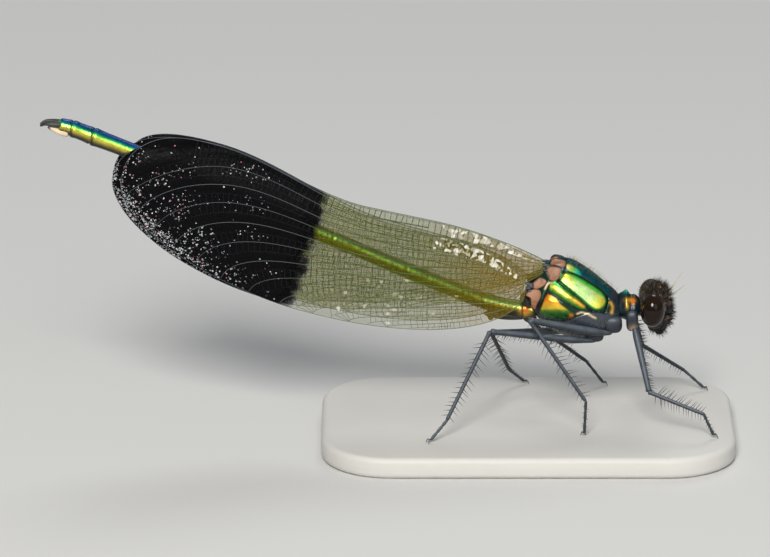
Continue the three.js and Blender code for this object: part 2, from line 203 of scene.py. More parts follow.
def read_values(items, label, size=1, kind=float):
    """One value of every item, with a row for each where the value has several numbers."""
    values = np.empty(len(items) * size, dtype=kind)
    items.foreach_get(label, values)
    return values if size == 1 else values.reshape(-1, size)


def read_points(piece):
    """The points of a piece, in millimetres."""
    return read_values(piece.data.vertices, "co", 3) / MM


def move_points(piece, points):
    piece.data.vertices.foreach_set("co", (np.asarray(points) * MM).ravel())
    piece.data.update()


def turn_faces_out(piece):
    clear_selection()
    bpy.context.view_layer.objects.active = piece
    piece.select_set(True)
    bpy.ops.object.mode_set(mode="EDIT")
    bpy.ops.mesh.select_all(action="SELECT")
    bpy.ops.mesh.normals_make_consistent(inside=False)
    bpy.ops.object.mode_set(mode="OBJECT")
    bpy.ops.object.shade_smooth()


def drawn_ball(name, around, along, place):
    """A ball whose points are moved to place(share, angle), in millimetres."""
    clear_selection()
    bpy.ops.mesh.primitive_uv_sphere_add(segments=around, ring_count=along, radius=MM)
    piece = bpy.context.object
    piece.name = name
    points = read_points(piece)
    share = 0.5 + np.arcsin(np.clip(points[:, 2], -1, 1)) / math.pi
    angle = np.arctan2(points[:, 1], points[:, 0])
    move_points(piece, place(share, angle))
    turn_faces_out(piece)
    return piece


def ball_shape(share, angle, power):
    """Points of a unit ball. A power above 2 makes it squarer."""
    ring = np.sin(share * math.pi)
    shape = np.stack([ring * np.cos(angle), ring * np.sin(angle), -np.cos(share * math.pi)], axis=1)
    size = np.sum(np.abs(shape) ** power, axis=1) ** (1 / power)
    return shape / size[:, None]


def lobe(name, centre, radii, around, along, power=2.0):
    """A closed oval, squarer where its power is above 2."""
    def place(share, angle):
        return np.array(centre) + np.array(radii) * ball_shape(share, angle, power)
    return drawn_ball(name, around, along, place)


def limb(name, points, radius, around, along):
    """A closed limb along a path. radius(share) is in millimetres."""
    path = curve_through(points, PATH_POINTS)
    reach = reach_along(path)
    reach /= reach[-1]
    whole = path[-1] - path[0]
    steep = abs(whole[2]) > 0.8 * np.linalg.norm(whole)
    level = np.array((1.0, 0, 0) if steep else (0, 0, 1.0))

    def at(share):
        return point_along(path, reach, share)

    def place(share, angle):
        forward = unit(at(share + 0.01) - at(share - 0.01))
        across = unit(np.cross(forward, level))
        up = np.cross(across, forward)
        size = radius(share)[:, None]
        return at(share) + (across * np.cos(angle)[:, None] + up * np.sin(angle)[:, None]) * size
    return drawn_ball(name, around, along, place)


def joined(name, pieces):
    """Several meshes made one. Each keeps its own square of the unwrap."""
    squares = math.ceil(math.sqrt(len(pieces)))
    for number, piece in enumerate(pieces):
        unwrap = piece.data.uv_layers[0].data
        corner = np.array((number % squares, number // squares))
        unwrap.foreach_set("uv", ((read_values(unwrap, "uv", 2) + corner) / squares).ravel())
    clear_selection()
    for piece in pieces:
        piece.select_set(True)
    bpy.context.view_layer.objects.active = pieces[0]
    bpy.ops.object.join()
    whole = bpy.context.object
    whole.name = name
    return whole


# %% [markdown]
# ## Paint
# Demoiselle colours come from thin layers in the horn, so they change across each plate
# and not from part to part. Each piece carries its colour in its points, worked out from
# where they lie on the plate, and one material reads it. That keeps the markings on the
# shape, from every side, and alike on the left and the right. Some of the paint is
# painted light: highlights on the abdomen, the thorax and the feelers, and legs lighter
# on top and darker below.

# %% Helpers for colour
def paint(piece, colour_at, shine_at=0.0):
    """Writes a colour, and how metallic the horn is, at each point of a piece."""
    mesh = piece.data
    points = read_points(piece)
    normals = read_values(mesh.vertices, "normal", 3)
    colours = colour_at(points, normals) if callable(colour_at) else np.array(colour_at, float)
    colours = np.hstack([np.broadcast_to(colours, (len(points), 3)), np.ones((len(points), 1))])
    shines = shine_at(points, normals) if callable(shine_at) else np.full(len(points), shine_at)
    mesh.attributes.new("paint", "FLOAT_COLOR", "POINT")
    mesh.attributes["paint"].data.foreach_set("color", colours.astype(np.float32).ravel())
    mesh.attributes.new("shine", "FLOAT", "POINT")
    mesh.attributes["shine"].data.foreach_set("value", shines.astype(np.float32))


def seen(points):
    """Where points show from the side and a little above, alike for left and right."""
    up = points[:, 2] * math.cos(VIEW_DOWN) - np.abs(points[:, 1]) * math.sin(VIEW_DOWN)
    return np.stack([points[:, 0], up], axis=1)


def new_material(name):
    material = bpy.data.materials.new(name)
    material.use_nodes = True
    tree = material.node_tree
    return material, tree, tree.nodes["Principled BSDF"]


def add_node(tree, kind, **settings):
    node = tree.nodes.new(kind)
    for key, value in settings.items():
        setattr(node, key, value)
    return node


def mixed_colour(tree, factor, first, second):
    """A colour that goes from first to second; each is a colour or an output."""
    node = add_node(tree, "ShaderNodeMix", data_type="RGBA")
    tree.links.new(factor, node.inputs[0])
    for socket, value in ((node.inputs[6], first), (node.inputs[7], second)):
        if isinstance(value, tuple):
            socket.default_value = (*value, 1)
        else:
            tree.links.new(value, socket)
    return node.outputs[2]


def finish_piece(piece, material, slot, *nodes):
    """Gives a piece its material and its body, and hides the solids it stands for. The slot is not used."""
    piece.data.materials.clear()
    piece.data.materials.append(material)
    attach(piece, BODY)
    if nodes:
        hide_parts(*nodes)
    print(piece.name, len(piece.data.polygons), "faces")


# %% [markdown]
# ## Horn grain
# Horn is never perfectly smooth. A fine grain, shared by every horn material, breaks up
# the gloss. It is a node group, so each material sets how coarse and how strong it is.

# %% Horn grain
def make_grain_group():
    group = bpy.data.node_groups.new("horn grain", "ShaderNodeTree")
    for label in ("Scale", "Blotch"):
        group.interface.new_socket(label, in_out="INPUT", socket_type="NodeSocketFloat")
    for label in ("Height", "Shade"):
        group.interface.new_socket(label, in_out="OUTPUT", socket_type="NodeSocketFloat")
    inputs = group.nodes.new("NodeGroupInput")
    outputs = group.nodes.new("NodeGroupOutput")
    place = group.nodes.new("ShaderNodeTexCoord")
    for size, result, detail in (("Scale", "Height", 3.0), ("Blotch", "Shade", 4.0)):
        noise = group.nodes.new("ShaderNodeTexNoise")
        noise.inputs["Detail"].default_value = detail
        group.links.new(place.outputs["Object"], noise.inputs["Vector"])
        group.links.new(inputs.outputs[size], noise.inputs["Scale"])
        group.links.new(noise.outputs["Fac"], outputs.inputs[result])
    return group


grain_group = make_grain_group()


NOISE_RANGE = (0.3, 0.7)


def stretched(tree, value, low, high):
    """A noise value, stretched to run from low to high."""
    stretch = add_node(tree, "ShaderNodeMapRange")
    numbers = (*NOISE_RANGE, low, high)
    for label, number in zip(("From Min", "From Max", "To Min", "To Max"), numbers):
        stretch.inputs[label].default_value = number
    tree.links.new(value, stretch.inputs["Value"])
    return stretch.outputs["Result"]


def add_grain(tree, shader, scale, blotch, strength, depth, rough):
    """Grain on the surface, and a roughness that changes with its blotches."""
    grain = add_node(tree, "ShaderNodeGroup", node_tree=grain_group)
    grain.inputs["Scale"].default_value = scale
    grain.inputs["Blotch"].default_value = blotch
    bump = add_node(tree, "ShaderNodeBump")
    bump.inputs["Strength"].default_value = strength
    bump.inputs["Distance"].default_value = depth * MM
    tree.links.new(grain.outputs["Height"], bump.inputs["Height"])
    tree.links.new(bump.outputs["Normal"], shader.inputs["Normal"])
    tree.links.new(stretched(tree, grain.outputs["Shade"], *rough), shader.inputs["Roughness"])
    return grain


# %% [markdown]
# ## Horn
# All horn is one kind of material: it reads its colour and its metal from the paint on the
# piece, and its grain makes it a little lighter and darker. Only the roughness, the grain
# and the mottling differ between the metallic, dark, brown and slate horn.

# %% Horn
BLOTCH_SCALE = 1800.0
GRAIN_DEPTH = 0.03


def horn_material(name, rough, mottle, strength=0.6, scale=9000.0):
    """Painted horn: colour and metal from the piece's points, gloss from the grain."""
    material, tree, shader = new_material(name)
    colour = add_node(tree, "ShaderNodeAttribute", attribute_name="paint")
    shine = add_node(tree, "ShaderNodeAttribute", attribute_name="shine")
    grain = add_grain(tree, shader, scale, BLOTCH_SCALE, strength, GRAIN_DEPTH, rough)
    shade = stretched(tree, grain.outputs["Shade"], 1 - mottle, 1 + mottle)
    scaled = add_node(tree, "ShaderNodeVectorMath", operation="SCALE")
    tree.links.new(colour.outputs["Color"], scaled.inputs["Vector"])
    tree.links.new(shade, scaled.inputs["Scale"])
    tree.links.new(scaled.outputs["Vector"], shader.inputs["Base Color"])
    tree.links.new(shine.outputs["Fac"], shader.inputs["Metallic"])
    return material


metal_horn = horn_material("metallic horn", rough=(0.24, 0.36), mottle=0.2)
dark_horn = horn_material("dark horn", rough=(0.35, 0.55), mottle=0.2)
brown_horn = horn_material("brown hinge horn", rough=(0.4, 0.6), mottle=0.3, strength=0.7, scale=6000.0)
leg_horn = horn_material("slate leg horn", rough=(0.38, 0.58), mottle=0.25)

# %% [markdown]
# ## The plate
# The long raised abdomen would tip the insect backwards, so a museum would fix its feet
# to a plate. It is a block with rounded corners and an eased edge, in plain off-white.

# %% The plate
plate_low, plate_high = [np.array(corner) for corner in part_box("stand_base")]
PLATE_CORNER = 5.0
PLATE_EASE = 0.4
PLATE_TOP = float(plate_high[2]) / MM
PLATE_GRAIN = {"scale": 3000.0, "blotch": 120.0, "strength": 0.2, "depth": 0.05, "rough": (0.5, 0.62)}
PLATE_TINTS = ((0.60, 0.59, 0.56), (0.66, 0.65, 0.62))


def make_plate():
    clear_selection()
    size = plate_high - plate_low
    bpy.ops.mesh.primitive_cube_add(size=1, location=(plate_low + plate_high) / 2)
    piece = bpy.context.object
    piece.name = "plate"
    piece.scale = size
    bpy.ops.object.transform_apply(location=True, rotation=True, scale=True)
    bpy.ops.object.mode_set(mode="EDIT")
    bpy.ops.mesh.select_mode(type="EDGE")
    bpy.ops.mesh.select_all(action="DESELECT")
    bpy.ops.object.mode_set(mode="OBJECT")
    for edge in piece.data.edges:
        first, second = [piece.data.vertices[index].co for index in edge.vertices]
        edge.select = bool(abs(first.z - second.z) > size[2] / 2)
    bpy.ops.object.mode_set(mode="EDIT")
    bpy.ops.mesh.bevel(offset=PLATE_CORNER * MM, segments=16, affect="EDGES")
    bpy.ops.object.mode_set(mode="OBJECT")
    ease = piece.modifiers.new("ease", "BEVEL")
    ease.width = PLATE_EASE * MM
    ease.segments = 4
    ease.limit_method = "ANGLE"
    ease.angle_limit = math.radians(60)
    bpy.ops.object.modifier_apply(modifier="ease")
    bpy.ops.object.shade_smooth_by_angle(angle=math.radians(35))
    return piece


def plate_material():
    material, tree, shader = new_material("plate off-white")
    grain = add_grain(tree, shader, **PLATE_GRAIN)
    tree.links.new(mixed_colour(tree, grain.outputs["Shade"], *PLATE_TINTS), shader.inputs["Base Color"])
    return material


plate = make_plate()
finish_piece(plate, plate_material(), "base", "stand_base")

# %% [markdown]
# ## The abdomen
# Ten rings of horn, each a little waisted, with a dark soft fold between one and the next.
# The whole is one drawn-out ball that follows the same joints as the solids. Its colour
# runs round the body: blue on the back, then a bright green line high on the flank, which
# is a painted highlight where the key light's reflection falls, then gold and dark olive,
# growing darker down to a black belly.

# %% The abdomen
ABDOMEN_JOINTS = [
    (10.9, 9.72, 0.62), (9.75, 9.8, 0.66), (6.81, 10.52, 0.64), (1.3, 12.81, 0.6),
    (-4.06, 15.19, 0.58), (-8.99, 17.34, 0.58), (-13.7, 19.48, 0.6), (-17.76, 21.46, 0.64),
    (-21.31, 22.93, 0.68), (-22.8, 23.52, 0.64), (-23.85, 23.8, 0.56),
]
RINGS = len(ABDOMEN_JOINTS) - 1
RING_STEPS = 100
joint_points = np.array([(x, 0.0, z) for x, z, _ in ABDOMEN_JOINTS])
abdomen_path = curve_through(joint_points, RINGS * RING_STEPS + 1)
path_reach = reach_along(abdomen_path)
joint_reach = path_reach[::RING_STEPS]
ABDOMEN_LENGTH = float(path_reach[-1])
print("abdomen:", round(ABDOMEN_LENGTH, 1), "mm")


def to_joint(distance):
    """How far a place along the abdomen is from the joint before it and the one after."""
    ring = np.clip(np.searchsorted(joint_reach, distance, side="right") - 1, 0, RINGS - 1)
    return distance - joint_reach[ring], joint_reach[ring + 1] - distance


def abdomen_radius(distance):
    size = np.interp(distance, joint_reach, [radius for _, _, radius in ABDOMEN_JOINTS])
    before, after = to_joint(distance)
    share = before / (before + after)
    waist = 1 - 0.06 * np.sin(math.pi * share)
    fold = 1 - 0.10 * bump_at(np.minimum(before, after), 0.07)
    collar = 1 + 0.04 * bump_at(after - 0.24, 0.16)
    return size * waist * fold * collar


def path_at(distance):
    return point_along(abdomen_path, path_reach, distance)


def abdomen_up(distance):
    forward = path_at(distance + 0.2) - path_at(distance - 0.2)
    return unit(np.stack([forward[:, 2], np.zeros(len(forward)), -forward[:, 0]], axis=1))


def abdomen_place(share, angle):
    distance = share * ABDOMEN_LENGTH
    size = abdomen_radius(distance) * round_ends(share, 0.012)
    sideways = np.array((0, 1.0, 0)) * (np.sin(angle) * size)[:, None]
    belly = 1.0 - 0.06 * np.clip(-np.cos(angle), 0, 1)
    return path_at(distance) + sideways + abdomen_up(distance) * (np.cos(angle) * size * belly)[:, None]


# In each ramp the bright green or lime stop is a painted highlight, and the stops grow darker towards the
# belly.
ROUND_COLOURS_WITH_PAINTED_HIGHLIGHT = [
    (0.00, (0.003, 0.016, 0.080)), (0.15, (0.003, 0.028, 0.130)), (0.23, (0.002, 0.130, 0.200)),
    (0.28, (0.010, 0.600, 0.220)), (0.34, (0.480, 1.000, 0.150)), (0.40, (0.460, 0.540, 0.050)),
    (0.46, (0.100, 0.120, 0.022)), (0.54, (0.030, 0.036, 0.012)), (0.66, (0.010, 0.012, 0.008)),
    (1.00, (0.005, 0.005, 0.006)),
]
BASE_COLOURS_WITH_PAINTED_HIGHLIGHT = [
    (0.00, (0.002, 0.100, 0.090)), (0.16, (0.002, 0.240, 0.120)), (0.26, (0.020, 0.600, 0.140)),
    (0.34, (0.740, 1.000, 0.320)), (0.40, (0.600, 0.560, 0.060)), (0.47, (0.160, 0.140, 0.026)),
    (0.58, (0.020, 0.022, 0.014)), (1.00, (0.008, 0.008, 0.008)),
]
TAIL_COLOURS_WITH_PAINTED_HIGHLIGHT = [
    (0.00, (0.003, 0.024, 0.140)), (0.17, (0.003, 0.060, 0.240)), (0.25, (0.002, 0.230, 0.260)),
    (0.31, (0.040, 0.560, 0.130)), (0.38, (0.520, 0.800, 0.080)), (0.47, (0.540, 0.450, 0.060)),
    (0.57, (0.200, 0.170, 0.045)), (0.66, (0.050, 0.046, 0.024)), (0.76, (0.012, 0.012, 0.010)),
    (1.00, (0.006, 0.006, 0.007)),
]
FOLD_COLOUR = (0.006, 0.010, 0.012)
BASE_FROM = 6.6
TAIL_FROM = -14.0
FLARE = (9.95, 9.30)
FLARE_TINTS = [((0.95, 0.62, 0.10), 0.40), ((0.90, 0.14, 0.02), 0.24)]


def abdomen_colour_with_painted_highlight(points, normals):
    """Colour round the body with a painted highlight line, darker at each joint, with a gold and red flare
    at its root.
    """
    distance = np.interp(-points[:, 0], -abdomen_path[:, 0], path_reach)
    around = np.arccos(np.clip(np.sum(normals * abdomen_up(distance), axis=1), -1, 1)) / math.pi
    colour = blend(ramp(ROUND_COLOURS_WITH_PAINTED_HIGHLIGHT, around), ramp(TAIL_COLOURS_WITH_PAINTED_HIGHLIGHT, around),
                   smooth((TAIL_FROM - points[:, 0]) / 3))
    colour = blend(colour, ramp(BASE_COLOURS_WITH_PAINTED_HIGHLIGHT, around), smooth((points[:, 0] - BASE_FROM) / 1.2))
    flare = np.linalg.norm(seen(points) - np.array(FLARE), axis=1)
    for tint, width in FLARE_TINTS:
        colour = blend(colour, tint, bump_at(flare, width))
    before, after = to_joint(distance)
    return blend(colour, FOLD_COLOUR, 0.8 * bump_at(np.minimum(before, after), 0.09))


abdomen = drawn_ball("abdomen_shell", 64, 720, abdomen_place)
paint(abdomen, abdomen_colour_with_painted_highlight, 0.65)
finish_piece(abdomen, metal_horn, "abdomen", *[f"abdomen_{number}" for number in range(1, RINGS + 1)])

# %% The belly of the first rings
BELLY_LOBES = [
    ((9.0, 0, 9.34), (1.55, 0.42, 0.32)),
    ((7.9, 0, 9.50), (0.95, 0.34, 0.30)),
    ((7.45, 0, 9.30), (0.24, 0.22, 0.32)),
    ((10.3, 0, 9.18), (0.5, 0.5, 0.36)),
    ((10.3, 0, 10.6), (0.75, 0.85, 0.7)),
]
belly = joined("belly_lobes", [lobe(f"belly_{number}", centre, radii, 28, 18, 2.0)
                               for number, (centre, radii) in enumerate(BELLY_LOBES)])
paint(belly, (0.022, 0.020, 0.017), 0.1)
finish_piece(belly, dark_horn, "abdomen")

# %% [markdown]
# ## The thorax
# The thorax holds the muscles of flight: a deep box of slanting plates, parted by dark
# grooves. It is drawn from stations along the body, as the solid is. Then the grooves are
# pressed in and the bright plates swelled, by how far each point lies from their outlines.

# %% The outlines of the thorax plates
SHOULDER_GROOVE = [(12.69, 12.03), (13.56, 11.89), (14.79, 11.16), (15.59, 10.58), (15.95, 10.0)]
FIRST_GROOVE = [(12.29, 11.38), (12.9, 10.88), (13.77, 10.15), (14.5, 9.42), (14.79, 9.21)]
SECOND_GROOVE = [(11.56, 10.58), (12.18, 10.29), (12.9, 9.79), (13.63, 9.35), (14.21, 9.13)]
LOWER_GROOVE = [(10.88, 8.84), (11.74, 8.59), (12.83, 8.52), (13.56, 8.77), (14.64, 9.13), (15.66, 9.13)]
FRONT_GROOVE = [(15.95, 10.29), (15.88, 9.57), (15.66, 9.06)]
UPPER_HINGE_GROOVE = [(12.9, 13.1), (12.83, 12.32), (12.61, 11.74), (12.25, 11.38)]
LOWER_HINGE_GROOVE = [(11.74, 11.38), (11.46, 10.73), (11.24, 10.0), (10.88, 9.13)]
grooves = [curve_through(line, 24) for line in (
    SHOULDER_GROOVE, FIRST_GROOVE, SECOND_GROOVE, LOWER_GROOVE,
    FRONT_GROOVE, UPPER_HINGE_GROOVE, LOWER_HINGE_GROOVE)]
shoulder_groove = grooves[0]
lower_groove = grooves[3]

BROAD_PLATE = rounded([(12.51, 11.64), (12.76, 11.93), (13.34, 11.82), (14.64, 11.13), (15.37, 10.62),
                       (15.73, 10.04), (15.6, 9.60), (15.22, 9.39), (14.79, 9.50), (13.92, 10.22),
                       (13.05, 10.95), (12.61, 11.38)])
MIDDLE_PLATE = rounded([(11.67, 11.02), (11.85, 11.27), (12.25, 11.24), (13.05, 10.73), (13.99, 10.08),
                        (14.32, 9.64), (14.14, 9.39), (13.63, 9.53), (12.61, 10.08), (11.82, 10.62)])
REAR_PLATE = rounded([(11.42, 10.37), (11.74, 10.4), (12.18, 10.08), (12.51, 9.71), (13.34, 9.06),
                      (13.41, 8.74), (12.83, 8.66), (11.6, 8.74), (10.98, 8.99), (11.06, 9.57)])
# The outline of a painted highlight high on the shoulder.
SHOULDER_HIGHLIGHT = rounded([(12.9, 12.54), (13.19, 12.58), (13.92, 12.11), (13.99, 11.74),
                          (13.56, 11.85), (12.98, 12.22)])
CREAM_LINES = [
    curve_through([(13.69, 9.0), (14.02, 9.1), (14.41, 9.02), (14.79, 8.81), (15.03, 8.7)], 16),
    curve_through([(11.36, 10.82), (11.55, 11.16), (11.84, 11.26)], 12),
]
FRONT_SPOT = curve_through([(16.12, 9.82), (16.26, 9.5), (16.2, 9.1)], 8)

# %% The thorax shell
THORAX_STATIONS = np.array([
    (9.9, 11.2, 10.55, 0.55), (10.35, 12.0, 9.95, 1.1), (11.1, 12.95, 9.0, 1.5),
    (12.1, 13.65, 8.25, 1.8), (13.2, 13.65, 7.75, 1.92), (14.5, 12.9, 7.5, 1.85),
    (15.6, 12.0, 7.8, 1.6), (16.4, 11.3, 8.4, 1.15), (16.9, 10.7, 9.1, 0.7),
])
thorax_lines = curve_through(THORAX_STATIONS, 200)
THORAX_CROWN = 0.55


def thorax_place(share, angle):
    x, top, bottom, half = read_line(thorax_lines, share)
    close = round_ends(share, 0.05)
    up = np.sin(angle)
    y = np.cos(angle) * half * mix(1, THORAX_CROWN, np.clip(up, 0, 1)) * close
    points = np.stack([x, y, (top + bottom) / 2 + up * (top - bottom) / 2 * close], axis=1)
    marks = seen(points)
    swell = sum(0.035 * smooth(depth_inside(plate, marks) / 0.4)
                for plate in (BROAD_PLATE, MIDDLE_PLATE, REAR_PLATE))
    press = sum(0.055 * bump_at(line_distance(groove, marks), 0.075) for groove in grooves)
    points[:, 1] *= 1 + swell - press
    points[:, 2] += 0.05 * bump_at(points[:, 1], 0.12) * (up > 0)
    return points


# %% Thorax colours
FLANK_GREEN = (0.006, 0.045, 0.020)
SHOULDER_TEAL = (0.003, 0.075, 0.090)
BACK_BLUE = (0.004, 0.030, 0.055)
# Colours of the painted highlight on the shoulder, from gold to blue-green.
SHOULDER_HIGHLIGHT_COLOURS = [
    (0, (0.70, 0.55, 0.10)), (0.35, (0.35, 0.62, 0.10)), (0.7, (0.03, 0.55, 0.25)),
    (1, (0.005, 0.25, 0.25)),
]
# The broad plate's light green is partly its own colour and partly a painted highlight.
BROAD_COLOURS_WITH_PAINTED_HIGHLIGHT = [
    (-0.05, (0.90, 0.86, 0.05)), (0.14, (0.72, 0.90, 0.10)), (0.35, (0.62, 0.98, 0.34)),
    (0.72, (0.68, 0.95, 0.36)), (0.95, (0.90, 0.88, 0.10)), (1.08, (0.75, 0.55, 0.04)),
]
BROAD_UPPER = (0.10, 0.60, 0.06)
BROAD_RIM = (0.020, 0.26, 0.030)
MIDDLE_COLOURS = [
    (0, (0.92, 0.88, 0.08)), (0.45, (0.82, 0.80, 0.10)), (0.75, (0.88, 0.55, 0.05)),
    (1.0, (0.85, 0.35, 0.03)),
]
MIDDLE_RIM = (0.022, 0.20, 0.024)
REAR_MIDDLE = 9.25
REAR_COLOURS = [
    (-0.55, (0.006, 0.07, 0.014)), (-0.2, (0.012, 0.15, 0.015)), (0.0, (0.16, 0.24, 0.02)),
    (0.15, (0.80, 0.62, 0.06)), (0.45, (0.98, 0.48, 0.03)), (0.85, (0.90, 0.27, 0.015)),
    (1.15, (0.40, 0.12, 0.01)),
]
REAR_SPOT_AT = (13.24, 8.84)
REAR_SPOT = (0.80, 0.24, 0.02)
BREAST_GREY = (0.050, 0.062, 0.080)
FRONT_GREY = (0.034, 0.048, 0.066)
GROOVE_BLACK = (0.003, 0.004, 0.005)
CREAM = (0.66, 0.52, 0.32)
CREAM_WIDTH = 0.075
FRONT_AMBER = (0.90, 0.52, 0.06)
REAR_BLACK = (0.014, 0.015, 0.017)


def along_axis(marks, start, end):
    """Where marks lie along a line from start to end, and how far to its upper side."""
    start = np.array(start)
    axis = np.array(end) - start
    length = np.linalg.norm(axis)
    axis /= length
    offset = marks - start
    return offset @ axis / length, offset @ np.array((-axis[1], axis[0]))


def lay(colour, tint, share):
    return blend(colour, tint, np.clip(share, 0, 1))


def lay_shoulder_highlight(colour, marks):
    """A painted highlight above the shoulder groove, from gold to blue-green."""
    depth = depth_inside(SHOULDER_HIGHLIGHT, marks)
    along, _ = along_axis(marks, (12.95, 12.4), (13.95, 11.9))
    return lay(colour, ramp(SHOULDER_HIGHLIGHT_COLOURS, along), smooth(0.35 + depth / 0.16))


def lay_broad_plate_with_highlight(colour, marks):
    """The broad plate is light green, partly its own colour and partly a painted highlight, with golden ends
    and a deep green rim.
    """
    depth = depth_inside(BROAD_PLATE, marks)
    along, side = along_axis(marks, (12.61, 11.64), (15.44, 9.79))
    broad = lay(ramp(BROAD_COLOURS_WITH_PAINTED_HIGHLIGHT, along), BROAD_UPPER, smooth((side - 0.30) / 0.25))
    colour = lay(colour, BROAD_RIM, smooth((depth + 0.14) / 0.14))
    return lay(colour, broad, smooth((depth + 0.02) / 0.11))


def lay_middle_plate(colour, marks):
    """The middle plate has a golden band along its middle, on deep green."""
    depth = depth_inside(MIDDLE_PLATE, marks)
    along, side = along_axis(marks, (11.7, 11.08), (14.21, 9.53))
    band = bump_at(side + 0.02, 0.15)
    colour = lay(colour, MIDDLE_RIM, smooth((depth + 0.14) / 0.16))
    return lay(colour, ramp(MIDDLE_COLOURS, along), smooth(depth / 0.10) * band)


def lay_rear_plate(colour, marks):
    """The rear plate is dark green below and orange above, with an orange spot."""
    depth = depth_inside(REAR_PLATE, marks)
    height = marks[:, 1] - REAR_MIDDLE
    colour = lay(colour, ramp(REAR_COLOURS, height), smooth((depth + 0.02) / 0.12))
    spot = np.linalg.norm(marks - np.array(REAR_SPOT_AT), axis=1)
    return lay(colour, REAR_SPOT, bump_at(spot, 0.16))


def below_lower_groove(marks):
    """How far marks are on the breast: 0 above the lower groove and 1 below it."""
    below = np.interp(marks[:, 0], lower_groove[:, 0], lower_groove[:, 1]) - marks[:, 1]
    return smooth(below / 0.12 + 0.5)


def thorax_colour(points, normals):
    marks = seen(points)
    above = marks[:, 1] - np.interp(marks[:, 0], shoulder_groove[:, 0], shoulder_groove[:, 1])
    colour = blend(FLANK_GREEN, SHOULDER_TEAL, smooth(above / 0.25))
    colour = lay(colour, BACK_BLUE, smooth((above - 0.75) / 0.4))
    for lay_part in (lay_shoulder_highlight, lay_broad_plate_with_highlight, lay_middle_plate, lay_rear_plate):
        colour = lay_part(colour, marks)
    colour = lay(colour, BREAST_GREY, below_lower_groove(marks))
    front = smooth((marks[:, 0] - 15.95) / 0.25)
    colour = lay(colour, FRONT_GREY, front * smooth((11.0 - marks[:, 1]) / 0.4))
    for groove in grooves:
        colour = lay(colour, GROOVE_BLACK, 0.95 * bump_at(line_distance(groove, marks), 0.07))
    for line in CREAM_LINES:
        colour = lay(colour, CREAM, bump_at(line_distance(line, marks), CREAM_WIDTH))
    colour = lay(colour, FRONT_AMBER, bump_at(line_distance(FRONT_SPOT, marks), 0.11))
    behind = smooth((11.2 - points[:, 0]) / 0.3)
    return lay(colour, REAR_BLACK, behind)


def thorax_shine(points, normals):
    marks = seen(points)
    cream = sum(bump_at(line_distance(line, marks), CREAM_WIDTH) for line in CREAM_LINES)
    return mix(0.55, 0.3, below_lower_groove(marks)) * (1 - np.clip(cream, 0, 1))


# %% The thorax
thorax = drawn_ball("thorax_shell", 260, 240, thorax_place)
paint(thorax, thorax_colour, thorax_shine)
finish_piece(thorax, metal_horn, "thorax", "thorax")

# %% [markdown]
# ## Wing hinges
# Between the thorax and each wing sit pads of brown horn with dark seams, which carry the
# wing and lock it shut over the back. Each is a shield with its own outline, laid on the
# flank and a little domed, so it is a ball pressed flat between two curved sheets.

# %% Wing hinges
HINGE_PADS = {
    "fore_upper": ([(11.90, 12.92), (12.22, 13.0), (12.78, 12.82), (12.81, 12.46), (12.38, 12.30),
                    (11.84, 12.40), (11.76, 12.68)], 0.55),
    "fore_lower": ([(11.55, 12.27), (11.98, 12.42), (12.52, 12.27), (12.47, 11.89), (12.27, 11.51),
                    (11.8, 11.4), (11.46, 11.8)], 1.12),
    "hind_upper": ([(10.68, 11.4), (11.02, 11.6), (11.46, 11.4), (11.36, 11.11), (10.93, 10.82),
                    (10.53, 10.82), (10.44, 11.11)], 1.2),
    "hind_lower": ([(9.95, 10.35), (10.35, 10.73), (10.93, 10.73), (11.07, 10.35), (10.82, 9.77),
                    (10.64, 9.33), (10.39, 9.57), (10.29, 10.15)], 1.36),
}
FLANK_RANGE_X = (11.0, 16.5)
PAD_BROWN = (0.30, 0.135, 0.070)
PAD_RIM = (0.020, 0.017, 0.016)


def flank(x, z):
    """How far out the thorax reaches at a height, carried on evenly past its rear."""
    x = np.clip(x, *FLANK_RANGE_X)
    top, bottom, half = [np.interp(x, thorax_lines[:, 0], thorax_lines[:, column]) for column in (1, 2, 3)]
    up = np.clip((2 * z - top - bottom) / (top - bottom), -0.95, 0.92)
    return np.sqrt(1 - up ** 2) * half * mix(1, THORAX_CROWN, np.clip(up, 0, 1))


def shield(name, corners, aside, side):
    """A domed plate on the flank. Its corners are given as seen from the side."""
    outline = rounded(corners)
    height = (outline[:, 1] + aside * math.sin(VIEW_DOWN)) / math.cos(VIEW_DOWN)
    centre = np.array((outline[:, 0].mean(), height.mean()))
    reach = np.hypot(outline[:, 0] - centre[0], height - centre[1])
    turn = np.arctan2(height - centre[1], outline[:, 0] - centre[0])
    order = np.argsort(turn)

    def place(share, angle):
        ring = np.sin(share * math.pi) ** 0.7
        lift = -np.cos(share * math.pi)
        radius = np.interp(angle, turn[order], reach[order], period=2 * math.pi) * ring
        x = centre[0] + np.cos(angle) * radius
        z = centre[1] + np.sin(angle) * radius
        out = mix(aside, flank(x, z), 0.6) + np.where(lift > 0, 0.16, 0.30) * lift
        return np.stack([x, side * out, z], axis=1)

    piece = drawn_ball(name, 64, 40, place)
    marks = seen(read_points(piece))
    rim = smooth(0.6 - depth_inside(outline, marks) / 0.05)
    paint(piece, blend(PAD_BROWN, PAD_RIM, rim))
    return piece


for label, side in SIDES.items():
    hinge = joined(f"wing_hinges_{label}", [shield(f"pad_{kind}_{label}", corners, aside, side)
                                           for kind, (corners, aside) in HINGE_PADS.items()])
    finish_piece(hinge, brown_horn, "thorax")

# %% [markdown]
# ## Wing sockets
# Small dark knobs of horn join each wing to its pads. They are plain lobes in one mesh.

